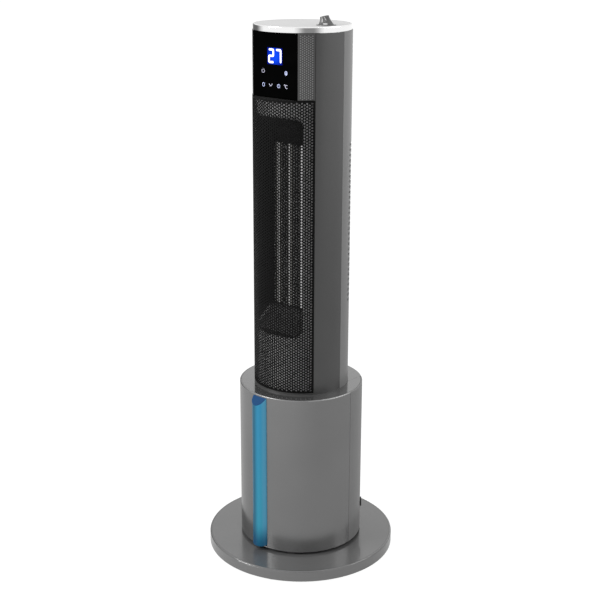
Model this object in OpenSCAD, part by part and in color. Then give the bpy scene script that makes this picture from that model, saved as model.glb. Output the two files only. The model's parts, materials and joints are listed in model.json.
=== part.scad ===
// Ceramic tower fan heater with a mist humidifier, standing on a turning base.
// The front faces -Y, +X is on the right of someone who looks at the rear, and Z starts at the floor.
// The tower's axis is X = 0, Y = 0, and round things are placed by an azimuth from the front towards +X.

/* [Base] */
// Diameter of the round foot
base_d = 322; // [300:1:340]
// Height of the round foot's rim
base_h = 19; // [17:0.5:24]
// Wall of the round foot
base_wall = 3; // [2.5:0.1:4]
// Rounding of the foot's upper edge
base_round = 2.4; // [1:0.1:4]
// Thickness of the cover under the foot
plate_t = 2.5; // [2:0.1:4]
// How far the rubber feet hold the rim above the floor
foot_stand = 3; // [2:0.1:5]
// Diameter of one rubber foot
foot_d = 23; // [16:0.5:26]
// Number of rubber feet
foot_count = 8; // [6:1:10]
// Thickness of the steel weight in the foot
weight_t = 6; // [4:0.5:8]

/* [Housing] */
// Diameter of the lower housing
housing_d = 210; // [200:1:230]
// Height of the lower housing
housing_h = 278; // [268:1:300]
// Wall of the lower housing
housing_wall = 2.5; // [2:0.1:3.5]
// Rounding of the housing's upper edge
housing_round = 1.8; // [0.8:0.1:1.9]
// Shadow gap between the foot and the housing
housing_gap = 4.5; // [4:0.1:7]
// Azimuth of the joint between the front and the rear of the housing
housing_seam_az = 93; // [88:0.5:100]
// Thickness of the floor, the shelf and the deck
deck_t = 3; // [2:0.1:4]
// Radius of the blue light column
column_r = 13.5; // [10:0.5:15]
// Slope of the light column's upper end
column_slant = 41; // [0:1:50]
// Height of the drive space under the shelf
drive_h = 22; // [21:0.5:26]

/* [Swing drive] */
// Outer radius of the hollow pivot that the housing turns on
pivot_r = 20; // [18:0.5:22]
// Module of the swing gears
gear_module = 1.5; // [1.4:0.05:1.6]
// Teeth of the fixed gear
gear_teeth = 40; // [38:1:44]
// Teeth of the motor's pinion
pinion_teeth = 16; // [14:1:18]
// Width of both gears
gear_w = 6; // [4:0.5:7]

/* [Water tank] */
// Width of the tank's door
door_w = 140; // [130:1:144]
// Wall of the tank
tank_wall = 2.4; // [1.6:0.1:3]
// Width of the finger grip in the door
grip_w = 84; // [60:1:96]
// Height of the finger grip in the door
grip_h = 26; // [22:1:34]
// Outer radius of the tank's screw cap
tank_cap_r = 22; // [20:0.5:23]

/* [Mist] */
// Outer radius of the riser that carries the mist up
duct_r = 9; // [8:0.1:9.3]
// Distance of the mist nozzle's middle from the outside of the tower
nozzle_inset = 23; // [22:0.5:25]
// Azimuth of the mist nozzle
nozzle_az = 81; // [78:1:84]
// Height of the nozzle over the cap
nozzle_h = 15; // [12:0.5:20]

/* [Tower] */
// Diameter of the tower
tower_d = 160; // [156:1:170]
// Height of the tower's head over the heating core
head_h = 188; // [180:1:230]
// Wall of the tower
tower_wall = 2.5; // [2:0.1:3]
// Height of the cap's bright band
cap_band = 9; // [7:0.5:14]
// Azimuth of the joint between the tower's front and rear shells
tower_seam_az = 95; // [90:0.5:100]
// Height of the display field
display_h = 102; // [95:1:110]
// Azimuth to which the flat display reaches
display_az = 35.5; // [32:0.5:38]
// Azimuth to which the grille reaches
grille_az = 56; // [52:0.5:58]
// Thickness of the grille's sheet
grille_t = 1.2; // [0.8:0.1:1.4]
// Columns of holes in the grille
grille_columns = 15; // [11:2:17]

/* [Heater] */
// Height of the heating core
core_h = 272; // [250:1:280]
// Width of the heating core, as a share of the tower's radius
core_w_share = 0.8875; // [0.8:0.0125:0.9125]
// Depth of the heating core
core_t = 15; // [12:0.5:16]
// How far the core stands behind the tower's front, as a share of the tower's radius
setback_share = 0.63125; // [0.5875:0.00625:0.65]
// Height of the core over the deck
core_lift = 138; // [130:1:150]
// Outer radius of the cross-flow wheel, as a share of the tower's radius
wheel_share = 0.3875; // [0.35:0.0125:0.3875]
// Number of blades on the cross-flow wheel
wheel_blades = 26; // [18:1:30]

/* [Rear] */
// Height of one air intake slot
slot_h = 4.4; // [3:0.1:5]
// Distance from slot to slot
slot_pitch = 8.7; // [8:0.1:10]
// Width of the carrying grip
handle_w = 92; // [80:1:96]
// Height of the carrying grip
handle_h = 26; // [22:1:30]

/* [Hidden] */
$fn = 96;

// Clearances that the whole part shares
seat = 0.3;
run = 0.05;
cut = 1;
loose = 0.7;
thin = 0.01;

// Colours
c_grey = [0.34, 0.34, 0.35];
c_rear = [0.42, 0.42, 0.43];
c_black = [0.05, 0.05, 0.055];
c_dark = [0.12, 0.12, 0.13];
c_steel = [0.72, 0.73, 0.74];
c_white = [0.9, 0.9, 0.88];
c_blue = [0.2, 0.55, 0.72];
c_board = [0.1, 0.32, 0.2];
c_brass = [0.78, 0.62, 0.3];

// Heights
base_top = foot_stand + base_h;
floor_z = base_top + housing_gap;
floor_top = floor_z + deck_t;
shelf_z = floor_top + drive_h;
shelf_top = shelf_z + deck_t;
deck_top = floor_z + housing_h;
deck_z = deck_top - deck_t;
tower_h = core_lift + core_h + head_h;
cap_top = deck_top + tower_h;
cap_z = cap_top - cap_band;
grille_sill = 3;
grille_z = deck_top + grille_sill;
display_z = cap_z - display_h;
grille_top = display_z - loose;
core_z = deck_top + core_lift;
core_top = core_z + core_h;

// Radii
base_r = base_d / 2;
housing_r = housing_d / 2;
housing_in = housing_r - housing_wall;
tower_r = tower_d / 2;
tower_in = tower_r - tower_wall;
core_w = core_w_share * tower_r;
core_setback = setback_share * tower_r;
wheel_r = wheel_share * tower_r;
nozzle_offset = tower_r - nozzle_inset;

// Light column in its trough, and the joints of the shells
column_sink = 1;
column_play = 1;
column_round = 3;
column_y = -housing_r + column_sink;
seam_half_az = 0.15;

// Round foot: bosses and screws
base_boss_r = 5;
base_screw_r = 1.7;
base_screw_head_r = 4;
base_screw_head_h = 1.2;
base_screw_l = 12;
base_boss_place = base_r - base_wall - 2 * base_boss_r;
foot_sink = 1;
foot_inset = 1.5;
foot_place = base_r - foot_d / 2 - base_wall - foot_inset;
weight_in = 50;
weight_out = base_boss_place - 2 * base_boss_r;

// Pivot and swing drive
pivot_wall = 6;
pivot_flange_r = 34;
pivot_boss_wall = 7;
pivot_boss_h = 12;
retainer_t = 2.7;
retainer_r = 30;
pad_r = 7;
pad_count = 6;
pad_inset = 19;
pad_place = housing_r - pad_inset;
boss_top = floor_top + pivot_boss_h;
gear_z = boss_top + seat + retainer_t;
hub_top = shelf_z - 2 * seat;
gear_pitch_r = gear_module * gear_teeth / 2;
pinion_pitch_r = gear_module * pinion_teeth / 2;
gear_play = 0.15;
swing_az = -41;
swing_reach = gear_pitch_r + pinion_pitch_r + gear_play;
swing_motor_r = 24;
swing_motor_h = 15;
swing_shaft_r = 3;
swing_shaft_up = 6;
shaft_hole_r = 5;
post_r = 5;
post_place = housing_in - 3 * post_r;
post_az_shares = [1 / 8, 3 / 8, 5 / 8, 7 / 8];

// Tank, its bay and its valve
bay_wall = 2;
bay_front = 6;
bay_inset = 1;
bay_half = door_w / 2 - bay_inset;
bay_h = 233;
tank_gap = 0.6;
tank_half = bay_half - bay_wall - tank_gap;
tank_front = bay_front + bay_wall + tank_gap;
tank_z = shelf_top + seat;
tank_top = shelf_top + bay_h - 2 * bay_wall;
tank_rear_r = housing_in - seat;
door_rise = 13.5;
door_z = floor_z + door_rise;
door_gap = 0.3;
grip_depth = 22;
grip_wall = 2;
grip_drop = 68;
grip_top = deck_top - grip_drop + grip_h;
cap_x = 34;
valve_rise = 30;
valve_z = shelf_top + valve_rise;
cap_thread = 4;
neck_wall = 4;
neck_r = tank_cap_r - cap_thread;
neck_bore_r = neck_r - neck_wall;
neck_reach = 14;
cap_plate = 2.6;
cap_skirt = 13;
seal_t = 1.7;
valve_lift = 3;
valve_r = 9;
valve_t = 2;
valve_stem_r = 3;
valve_hole_r = 7.5;
valve_arm = 2;
valve_sleeve = 2;
neck_end = tank_front - neck_reach;
cap_face = neck_end - seat - seal_t - cap_plate;
cap_inner = cap_face + cap_plate;
valve_seat_y = cap_inner + seat + valve_lift;
valve_tip_y = cap_face - seat;
cup_end = bay_front - seat;

// Mist maker
chamber_wall = 2;
chamber_x = [8, 76];
chamber_y = [-62, -20];
chamber_h = 57;
hood_half = 14.5;
hood_gap = 1.5;
hood_middle = nozzle_offset * sin(nozzle_az);
hood_x = [hood_middle - hood_half, hood_middle + hood_half];
hood_rear = bay_front - hood_gap;
hood_h = 24;
duct_wall = 1.5;
duct_collar = 10;
duct_lengths = 3;
duct_sleeve = 10;
transducer_r = 12;
transducer_h = 4;
transducer_lip = 1;
transducer_place = [30, -41];
float_place = [60, -42];
float_pin_r = 2;
float_pin_h = 42;
float_r = 8;
float_h = 10;
probe_r = 4;
blower_place = [-22, -38];
blower_r = 22;
blower_rise = 4;
blower_z = shelf_top + swing_motor_h + blower_rise;
blower_h = 26;
blower_wheel_r = 16;
blower_shaft_r = 2.5;
blower_blades = 11;
blower_mouth = [10, 14];

// Boards, switches and inlet of the housing
board_t = 1.6;
board_gap = 3.6;
power_board_size = [86, 96];
power_board_x = -58;
power_board_drop = 155;
power_board_z = deck_top - power_board_drop;
tilt_size = [20, 12, 16];
tilt_place = [-82, -36];
inlet_az = 129.5;
inlet_rise = 46;
inlet_z = floor_z + inlet_rise;
inlet_r = 6;
inlet_bore_r = 3.2;
inlet_flange_r = 8;
inlet_flange_t = 2.2;
inlet_depth = 5;
switch_az = -118;
rocker_half = [7.6, 4.6];
rocker_pocket_play = 1;
switch_wall = 1.5;
switch_flange = 2.6;
switch_flange_t = 1.8;
switch_depth = 13;
rocker_sink = 3;
rocker_pin_r = 1.2;
rocker_low = 0.6;
rocker_high = 2.6;
light_board_w = 10;

// Tower
lip_in = 3.7;
lip_out = 2;
lip_az = 1.8;
ledge_t = 2.4;
ledge_w = 10.5;
cap_line = 0.6;
cap_round = 1.6;
cap_skin = 2.5;
cap_plug = 5.5;
cap_overlap = 1.5;
display_t = 3;
display_y = -tower_r * cos(display_az);
display_half = tower_r * sin(display_az) - seat;
window_half = 15.5;
window_h = 30;
window_drop = 20.5;
trim_t = 2.4;
trim_sink = 0.7;
display_post_r = 2.5;
display_post_l = 4;
display_board_inset = 6;
display_board_half = display_half - display_board_inset;
lamp_inset = 1;
display_board_edge = 9;
slot_rise = 8;
slot_z = core_z + slot_rise;
slot_rows = floor(core_h / slot_pitch);
slot_az_shares = [[-66, -25], [-22, 22], [25, 66]];
handle_drop = 30.5;
handle_depth = 27;
handle_wall = 2.2;
handle_top = cap_top - handle_drop;
vent_az = 129;
vent_half_az = 4.5;
vent_h = 3;
vent_pitch = 7;
vent_count = 3;
vent_drop = 18;
vent_z = handle_top - vent_drop;
sensor_size = [6, 9, 18];
case_screw_r = 1.5;
case_screw_head_r = 3.5;
case_screw_head_h = 1.4;
case_screw_l = 8;
case_screw_az = [142, 218];
case_screw_rise = 40;
case_screw_drop = 90;
case_screw_z = [deck_top + case_screw_rise, cap_top - case_screw_drop];
case_boss_wall = 2.5;

// Grille
grille_out = tower_r;
grille_mid = grille_out - grille_t / 2;
grille_side_az = 0.3;
grille_band_az = 0.6;
grille_edge = grille_az - grille_side_az;
grille_half = grille_edge - grille_band_az;
trim_under_az = 3;
grille_step = 2 * grille_half / grille_columns;
grille_w = 2 * grille_mid * sin(grille_step / 2);
grille_pitch = grille_w * 2 / sqrt(3);
grille_border = 4;
grille_lap = 0.4;
grille_rim = 0.2;
hole_share = 0.78;
grille_rows = floor((grille_top - grille_z - 2.5 * grille_border) / grille_pitch);

// Outlet funnel between the core and the grille
flange_inset = 4;
flange_out = tower_r - flange_inset;
flange_t = 2;
flange_side_az = 1.5;
mouth_share = 0.6375;
mouth_depth_share = 0.7125;
mouth_drop = 40;
mouth_rise = 51;
mouth_half = tower_r * mouth_share;
mouth_y = -tower_r * mouth_depth_share;
mouth_low = core_z - mouth_drop;
mouth_high = core_top + mouth_rise;
mouth_round = 14;
throat_round = 5;
funnel_t = 1.8;
core_y = -tower_r + core_setback;
throat_gap = 1.5;
throat_y = core_y - throat_gap;
throat_half = core_w / 2;
frame_wall = 4;
frame_y = throat_y + seat;
frame_over = 2.7;
frame_d = core_t + frame_over;
frame_back = frame_y + frame_d;

// Core
bar_w = 8;
bar_count = 3;
bar_pitch_share = 0.352;
bar_pitch = core_w * bar_pitch_share;
fin_share = 0.19;
fin_pitch = 6;
core_play = 0.3;
cutout_r = 8;
cutout_h = 7;
cutout_x = 20;

// Cross-flow fan
blade_reach = 7;
wheel_in = wheel_r - blade_reach;
wheel_shaft_r = 4;
wheel_disc_t = 2.5;
wheel_bays = 4;
wheel_end = 4;
blade_t = 1;
blade_lean = 30;
blade_steps = 5;
blade_start_share = 0.06;
blade_span_share = 0.88;
scroll_t = 2;
scroll_gap = 5;
scroll_plate = 3;
scroll_over = 5.5;
intake_gap = 9.5;
wheel_y = tower_in - wheel_r - scroll_gap - scroll_t - intake_gap;
scroll_low = core_z - scroll_over;
scroll_high = core_top + scroll_over;
wheel_z = scroll_low + scroll_plate + wheel_end;
wheel_top = scroll_high - scroll_plate - wheel_end;
motor_inset = 4;
motor_flange_over = 1;
motor_r = wheel_r - motor_inset;
motor_h = 40;
motor_flange_r = wheel_r + motor_flange_over;
motor_flange_t = 3;
motor_shaft_l = 24;
bush_r = 9;
bush_flange_r = 12;
bush_flange_t = 2;
control_board_shares = [1, 0.85];
control_board_size = tower_r * control_board_shares;
control_board_back = 20;
control_board_y = wheel_y + control_board_back;
chip_shares = [0.08, 0.38, 0.68];
corner_shares = [0.1, 0.9];
part_shares = [0.12, 0.40, 0.68];
post_side_shares = [-0.8, 0.8];
post_up_shares = [0.15, 0.85];

// Nozzle
socket_r = 13;
socket_flange_r = 15.4;
socket_flange_t = 1.2;
socket_depth = 16;
stem_r = 10;
stem_depth = 12;
nozzle_base_r = 12;
nozzle_top_r = 7.2;
nozzle_lean = 3.4;
nozzle_lean_az = -60;
nozzle_bore_r = 6;
nozzle_roof = 2.5;
nozzle_slot_w = 2.2;
nozzle_slot_count = 3;
nozzle_slot_step = 24;
nozzle_z = cap_top + socket_flange_t + seat;
nozzle_top = cap_top + nozzle_h;

// A point at an azimuth from the front and a distance from the axis
function at(az, r) = [r * sin(az), -r * cos(az)];

// One flank point of an involute, as [radius, angle], for a roll of t radians
function involute(rb, t) = [rb * sqrt(1 + t * t), (t - atan(t) * PI / 180) * 180 / PI];
// The outline of an involute gear with its first tooth on the angle 0
function gear_outline(teeth, m, thinner) =
  let (rp = m * teeth / 2, rb = rp * cos(20), ra = rp + m, rr = rp - 1.25 * m,
       t_tip = sqrt(ra * ra / (rb * rb) - 1), t_pitch = sqrt(rp * rp / (rb * rb) - 1),
       half = 90 / teeth - thinner / rp * 180 / PI + involute(rb, t_pitch)[1],
       steps = 3)
  [for (k = [0:teeth - 1])
     let (mid = 360 * k / teeth)
     each concat(
       [[rr * cos(mid - half), rr * sin(mid - half)]],
       [for (s = [0:steps]) let (p = involute(rb, t_tip * s / steps))
          [p[0] * cos(mid - half + p[1]), p[0] * sin(mid - half + p[1])]],
       [for (s = [steps:-1:0]) let (p = involute(rb, t_tip * s / steps))
          [p[0] * cos(mid + half - p[1]), p[0] * sin(mid + half - p[1])]],
       [[rr * cos(mid + half), rr * sin(mid + half)]])];

// A ring wall of height h between two azimuths
module arc_wall(ro, ri, h, a0, a1) {
  rotate([0, 0, a0 - 90]) rotate_extrude(angle = a1 - a0) translate([ri, 0]) square([ro - ri, h]);
}

// A ring wall whose upper outer edge is rounded
module rounded_wall(ro, ri, h, f, a0, a1) {
  rotate([0, 0, a0 - 90]) rotate_extrude(angle = a1 - a0) {
    translate([ri, 0]) square([ro - ri - f, h]);
    translate([ri, 0]) square([ro - ri, h - f]);
    translate([ro - f, h - f]) intersection() {
      circle(f);
      square(f);
    }
  }
}

module ring(ro, ri, h) {
  difference() {
    cylinder(r = ro, h = h);
    translate([0, 0, -cut]) cylinder(r = ri, h = h + 2 * cut);
  }
}

// A rectangle with round corners, centred across and standing on z0
module round_rect(half, z0, z1, f) {
  translate([-half + f, z0]) square([2 * (half - f), z1 - z0]);
  translate([-half, z0 + f]) square([2 * half, z1 - z0 - 2 * f]);
  for (x = [-half + f, half - f], z = [z0 + f, z1 - f]) translate([x, z]) circle(f);
}

// A flat outline in X and Z, turned upright at a depth y and given a thickness t towards +Y
module upright(y, t) {
  translate([0, y + t, 0]) rotate([90, 0, 0]) linear_extrude(t) children();
}

module place(az, r, z) {
  translate([at(az, r)[0], at(az, r)[1], z]) rotate([0, 0, az - 90]) children();
}

// Foot of the heater
module base_disc() {
  color(c_grey) difference() {
    union() {
      translate([0, 0, foot_stand]) rotate_extrude() {
        square([base_r - base_round, base_h]);
        square([base_r, base_h - base_round]);
        translate([base_r - base_round, base_h - base_round]) circle(base_round);
      }
    }
    difference() {
      translate([0, 0, foot_stand - cut])
        cylinder(r = base_r - base_wall, h = base_h - base_wall + cut);
      for (k = [0:3]) place(90 * k, base_boss_place, foot_stand + plate_t + seat)
        cylinder(r = base_boss_r, h = base_h);
    }
    for (k = [0:3]) place(90 * k, base_boss_place, foot_stand)
      cylinder(r = base_screw_r + 2 * run, h = base_screw_l + cut);
  }
}

module base_plate() {
  color(c_black) difference() {
    translate([0, 0, foot_stand]) cylinder(r = base_r - base_wall - seat, h = plate_t);
    for (k = [0:foot_count - 1]) place(360 * (k + 0.5) / foot_count, foot_place, 0)
      cylinder(r = foot_d / 2 + seat, h = foot_stand + foot_sink);
    for (k = [0:3]) place(90 * k, base_boss_place, 0) {
      cylinder(r = base_screw_head_r + seat, h = foot_stand + base_screw_head_h);
      cylinder(r = base_screw_r + seat, h = foot_stand + plate_t + cut);
    }
  }
}

module base_weight() {
  color(c_steel) translate([0, 0, foot_stand + plate_t]) ring(weight_out, weight_in, weight_t);
}

module rubber_feet() {
  color(c_black) for (k = [0:foot_count - 1]) place(360 * (k + 0.5) / foot_count, foot_place, 0)
    cylinder(r = foot_d / 2, h = foot_stand + foot_sink);
}

module base_screws() {
  color(c_steel) for (k = [0:3]) place(90 * k, base_boss_place, foot_stand) {
    cylinder(r = base_screw_head_r, h = base_screw_head_h);
    cylinder(r = base_screw_r, h = base_screw_l);
  }
}

// Hollow pivot on the foot that the housing turns on
module pivot_hub() {
  color(c_dark) difference() {
    union() {
      translate([0, 0, base_top]) cylinder(r = pivot_flange_r, h = housing_gap - 5 * seat);
      translate([0, 0, base_top]) cylinder(r = pivot_r, h = hub_top - base_top);
    }
    translate([0, 0, base_top - cut])
      cylinder(r = pivot_r - pivot_wall, h = hub_top - base_top + 2 * cut);
  }
}

module hub_retainer() {
  color(c_steel) translate([0, 0, boss_top + seat]) ring(retainer_r, pivot_r + run, retainer_t);
}

module swing_gear() {
  color(c_white) translate([0, 0, gear_z]) difference() {
    rotate([0, 0, swing_az - 90]) linear_extrude(gear_w)
      polygon(gear_outline(gear_teeth, gear_module, gear_play / 2));
    translate([0, 0, -cut]) cylinder(r = pivot_r + run, h = gear_w + 2 * cut);
  }
}

module glide_pads() {
  color(c_white) for (k = [0:pad_count - 1]) place(360 * (k + 0.5) / pad_count, pad_place, base_top)
    cylinder(r = pad_r, h = housing_gap - seat);
}

// Room for the trough of the light column in the plates that it passes
module trough_notch(z, h) {
  translate([0, column_y, z - cut]) cylinder(r = column_r + 2 * housing_wall, h = h + 2 * cut);
}

// Turning floor of the housing
module housing_floor() {
  color(c_dark) difference() {
    union() {
      translate([0, 0, floor_z]) cylinder(r = housing_in - seat, h = deck_t);
      translate([0, 0, floor_z])
        cylinder(r = pivot_r + run + pivot_boss_wall, h = boss_top - floor_z);
    }
    translate([0, 0, floor_z - cut]) cylinder(r = pivot_r + run, h = boss_top - floor_z + 2 * cut);
    trough_notch(floor_z, deck_t);
  }
}

// Shelf that carries the drive, the mist maker and the tank
module chassis_shelf() {
  color(c_dark) difference() {
    union() {
      translate([0, 0, shelf_z]) cylinder(r = housing_in - loose, h = deck_t);
      for (s = post_az_shares) place(360 * s, post_place, floor_top)
        cylinder(r = post_r, h = drive_h + thin);
    }
    trough_notch(shelf_z, deck_t);
    place(swing_az, swing_reach, shelf_z - cut) cylinder(r = shaft_hole_r, h = deck_t + 2 * cut);
    translate([0, 0, shelf_z - cut]) cylinder(r = pivot_r - pivot_wall, h = deck_t + 2 * cut);
  }
}

// Front half of the lower housing, with the trough for the light column
module front_housing() {
  slot_low = floor_z + housing_wall;
  trough_r = column_r + column_play;
  color(c_grey) difference() {
    union() {
      translate([0, 0, floor_z]) rounded_wall(housing_r, housing_in, housing_h, housing_round,
                                              -housing_seam_az + seam_half_az,
                                              housing_seam_az - seam_half_az);
      intersection() {
        translate([0, column_y, floor_z])
          cylinder(r = trough_r + housing_wall, h = deck_z - floor_z - seat);
        translate([0, 0, floor_z]) cylinder(r = housing_in + thin, h = housing_h);
      }
    }
    translate([0, column_y, slot_low]) cylinder(r = trough_r, h = deck_z - slot_low);
  }
}

// Rear strips and sill of the lower housing round the tank's door
module rear_housing() {
  color(c_grey) difference() {
    translate([0, 0, floor_z]) rounded_wall(housing_r, housing_in, housing_h, housing_round,
                                            housing_seam_az + seam_half_az,
                                            360 - housing_seam_az - seam_half_az);
    translate([-door_w / 2, 0, door_z - door_gap]) cube([door_w, housing_r + cut, housing_h]);
    place(inlet_az, housing_in - cut, inlet_z) rotate([0, 90, 0])
      cylinder(r = inlet_r + seat, h = housing_wall + 3 * cut);
    place(switch_az, housing_in - 2 * cut, inlet_z)
      translate([0, -rocker_half[0] - rocker_pocket_play - switch_wall - seat,
                 -rocker_half[1] - rocker_pocket_play - switch_wall - seat])
      cube([housing_wall + 4 * cut, 2 * (rocker_half[0] + rocker_pocket_play + switch_wall + seat),
            2 * (rocker_half[1] + rocker_pocket_play + switch_wall + seat)]);
  }
}

// Deck of the housing, on which the tower stands, open where the door's top slides in
module housing_deck() {
  color(c_grey) difference() {
    translate([0, 0, deck_z]) cylinder(r = housing_in - seat, h = deck_t);
    translate([0, 0, deck_z - cut]) cylinder(r = pivot_r, h = deck_t + 2 * cut);
    intersection() {
      translate([0, 0, deck_z - cut]) ring(housing_r, tower_r + seat, deck_t + 2 * cut);
      translate([-door_w / 2, 0, deck_z - cut]) cube([door_w, housing_r, deck_t + 2 * cut]);
    }
    place(nozzle_az, nozzle_offset, deck_z - cut) cylinder(r = duct_r + seat, h = deck_t + 2 * cut);
  }
}

// Light column, round below and cut aslant where it comes out from under the deck
module light_column() {
  z0 = floor_z + housing_wall + seat;
  z1 = deck_z - seat;
  color(c_blue) difference() {
    translate([0, column_y, z0]) rotate_extrude() {
      square([column_r - column_round, z1 - z0]);
      translate([0, column_round]) square([column_r, z1 - z0 - column_round]);
      translate([column_r - column_round, column_round]) circle(column_round);
    }
    translate([0, -housing_r, z1]) rotate([column_slant, 0, 0])
      translate([-2 * column_r, -4 * column_r, 0]) cube([4 * column_r, 8 * column_r, 4 * column_r]);
  }
}

module light_board() {
  y = column_y + column_r + column_play + housing_wall + seat;
  color(c_board) translate([-light_board_w / 2, y, shelf_top])
    cube([light_board_w, board_t, deck_z - shelf_top - 4 * column_r / 3]);
}

module swing_motor() {
  color(c_steel) place(swing_az, swing_reach, shelf_top) difference() {
    cylinder(r = swing_motor_r, h = swing_motor_h);
    translate([0, 0, -cut]) cylinder(r = swing_shaft_r + run, h = swing_shaft_up + cut);
  }
}

module swing_pinion() {
  color(c_white) place(swing_az, swing_reach, gear_z) {
    rotate([0, 0, 180 + 180 / pinion_teeth]) linear_extrude(gear_w)
      polygon(gear_outline(pinion_teeth, gear_module, gear_play / 2));
    cylinder(r = swing_shaft_r, h = shelf_top + swing_shaft_up - seat - gear_z);
  }
}

// Open guide that the tank slides into from the rear
module tank_bay() {
  color(c_dark) intersection() {
    difference() {
      translate([-bay_half, bay_front, shelf_top]) cube([2 * bay_half, housing_r, bay_h]);
      translate([-bay_half + bay_wall, bay_front + bay_wall, shelf_top - cut])
        cube([2 * (bay_half - bay_wall), housing_r, bay_h + 2 * cut]);
      translate([cap_x, bay_front - cut, valve_z]) rotate([-90, 0, 0])
        cylinder(r = tank_cap_r + loose, h = bay_wall + 2 * cut);
    }
    cylinder(r = housing_in - loose, h = deck_top);
  }
}

// Box where the water turns to mist, with the hood that leads to the riser
module mist_chamber() {
  w = chamber_wall;
  lid_z = shelf_top + chamber_h;
  hood_top = lid_z + hood_h;
  px = at(nozzle_az, nozzle_offset);
  color(c_dark) difference() {
    union() {
      translate([chamber_x[0], chamber_y[0], shelf_top])
        cube([chamber_x[1] - chamber_x[0], chamber_y[1] - chamber_y[0], chamber_h]);
      translate([hood_x[0], chamber_y[0], lid_z - w])
        cube([hood_x[1] - hood_x[0], hood_rear - chamber_y[0], hood_h + w]);
      translate([px[0], px[1], hood_top]) cylinder(r = duct_r + run + w, h = duct_collar);
      translate([cap_x, cup_end, valve_z]) rotate([90, 0, 0])
        cylinder(r = tank_cap_r + loose + w, h = cup_end - chamber_y[1] + thin);
    }
    difference() {
      translate([cap_x, cup_end + cut, valve_z]) rotate([90, 0, 0])
        cylinder(r = tank_cap_r + loose, h = cup_end + cut - chamber_y[1]);
      translate([cap_x, valve_tip_y - seat, valve_z]) rotate([90, 0, 0])
        cylinder(r = probe_r, h = valve_tip_y - seat - chamber_y[1] + cut);
    }
    difference() {
      translate([chamber_x[0] + w, chamber_y[0] + w, shelf_top + w])
        cube([chamber_x[1] - chamber_x[0] - 2 * w, chamber_y[1] - chamber_y[0] - 2 * w,
              chamber_h - 2 * w]);
      translate([float_place[0], float_place[1], shelf_top]) cylinder(r = float_pin_r, h = float_pin_h);
    }
    translate([hood_x[0] + w, chamber_y[0] + w, lid_z - 2 * w])
      cube([hood_x[1] - hood_x[0] - 2 * w, chamber_y[1] - chamber_y[0] - 2 * w, hood_h + w]);
    translate([hood_x[0] + w, chamber_y[0] + w, lid_z])
      cube([hood_x[1] - hood_x[0] - 2 * w, hood_rear - chamber_y[0] - 2 * w, hood_h - w]);
    translate([px[0], px[1], hood_top - w - cut]) cylinder(r = duct_r - duct_wall, h = w + 2 * cut);
    translate([px[0], px[1], hood_top]) cylinder(r = duct_r + run, h = duct_collar + cut);
    translate([chamber_x[0] - cut, blower_place[1] - blower_r + w, blower_z + 2 * w])
      cube([w + 2 * cut, blower_mouth[0], blower_mouth[1]]);
    translate([cap_x, valve_tip_y, valve_z]) rotate([90, 0, 0])
      cylinder(r = probe_r - w, h = valve_tip_y - chamber_y[1] + w + cut);
  }
}

module mist_transducer() {
  color(c_brass) translate([transducer_place[0], transducer_place[1],
                            shelf_top + chamber_wall + seat]) {
    cylinder(r = transducer_r, h = transducer_h - transducer_lip);
    cylinder(r = transducer_r * 3 / 4, h = transducer_h);
  }
}

module level_float() {
  color(c_white) translate([float_place[0], float_place[1], shelf_top + chamber_wall + seat])
    ring(float_r, float_pin_r + 2 * seat, float_h);
}

// Small blower that pushes the mist up the riser
module mist_blower() {
  w = chamber_wall;
  color(c_black) difference() {
    union() {
      translate([blower_place[0], blower_place[1], blower_z]) cylinder(r = blower_r, h = blower_h);
      translate([blower_place[0], blower_place[1] - blower_r, blower_z + w])
        cube([chamber_x[0] - blower_place[0] - seat, blower_mouth[0] + 2 * w,
              blower_mouth[1] + 2 * w]);
    }
    translate([blower_place[0], blower_place[1], blower_z + 2 * w])
      cylinder(r = blower_r - w, h = blower_h - 3 * w);
    translate([blower_place[0], blower_place[1], blower_z + blower_h - 2 * w])
      cylinder(r = blower_wheel_r - 3 * w, h = 3 * w);
    translate([blower_place[0], blower_place[1], blower_z + w / 2])
      cylinder(r = blower_shaft_r + run, h = 3 * w);
    translate([blower_place[0], blower_place[1] - blower_r + w, blower_z + 2 * w])
      cube([chamber_x[0] - blower_place[0] + cut, blower_mouth[0], blower_mouth[1]]);
  }
}

module blower_wheel() {
  w = chamber_wall;
  h = blower_h - 5 * w;
  color(c_white) translate([blower_place[0], blower_place[1], blower_z]) {
    translate([0, 0, w / 2 + seat]) cylinder(r = blower_shaft_r, h = 2 * w + seat);
    translate([0, 0, 2.5 * w]) cylinder(r = blower_wheel_r, h = w / 2);
    for (k = [0:blower_blades - 1]) rotate([0, 0, 360 * k / blower_blades])
      translate([blower_wheel_r * 5 / 8, 0, 2.5 * w]) rotate([0, 0, blade_lean])
      cube([blower_wheel_r / 4, w / 2, h]);
  }
}

// Riser from the mist chamber to the nozzle, in lengths that plug into each other's sleeves
module mist_duct() {
  z0 = shelf_top + chamber_h + hood_h;
  z1 = cap_top - socket_depth - seat;
  step = (z1 - z0) / duct_lengths;
  sleeve_r = duct_r + duct_wall + run;
  color(c_white) for (k = [0:duct_lengths - 1]) place(nozzle_az, nozzle_offset, z0 + k * step) {
    if (k == duct_lengths - 1) ring(duct_r, duct_r - duct_wall, step);
    else {
      ring(duct_r, duct_r - duct_wall, step - seat);
      translate([0, 0, step - seat - duct_sleeve]) ring(sleeve_r, duct_r - thin, duct_sleeve);
      translate([0, 0, step - seat - thin]) ring(sleeve_r, duct_r + run, duct_sleeve + seat + thin);
    }
  }
}

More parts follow.
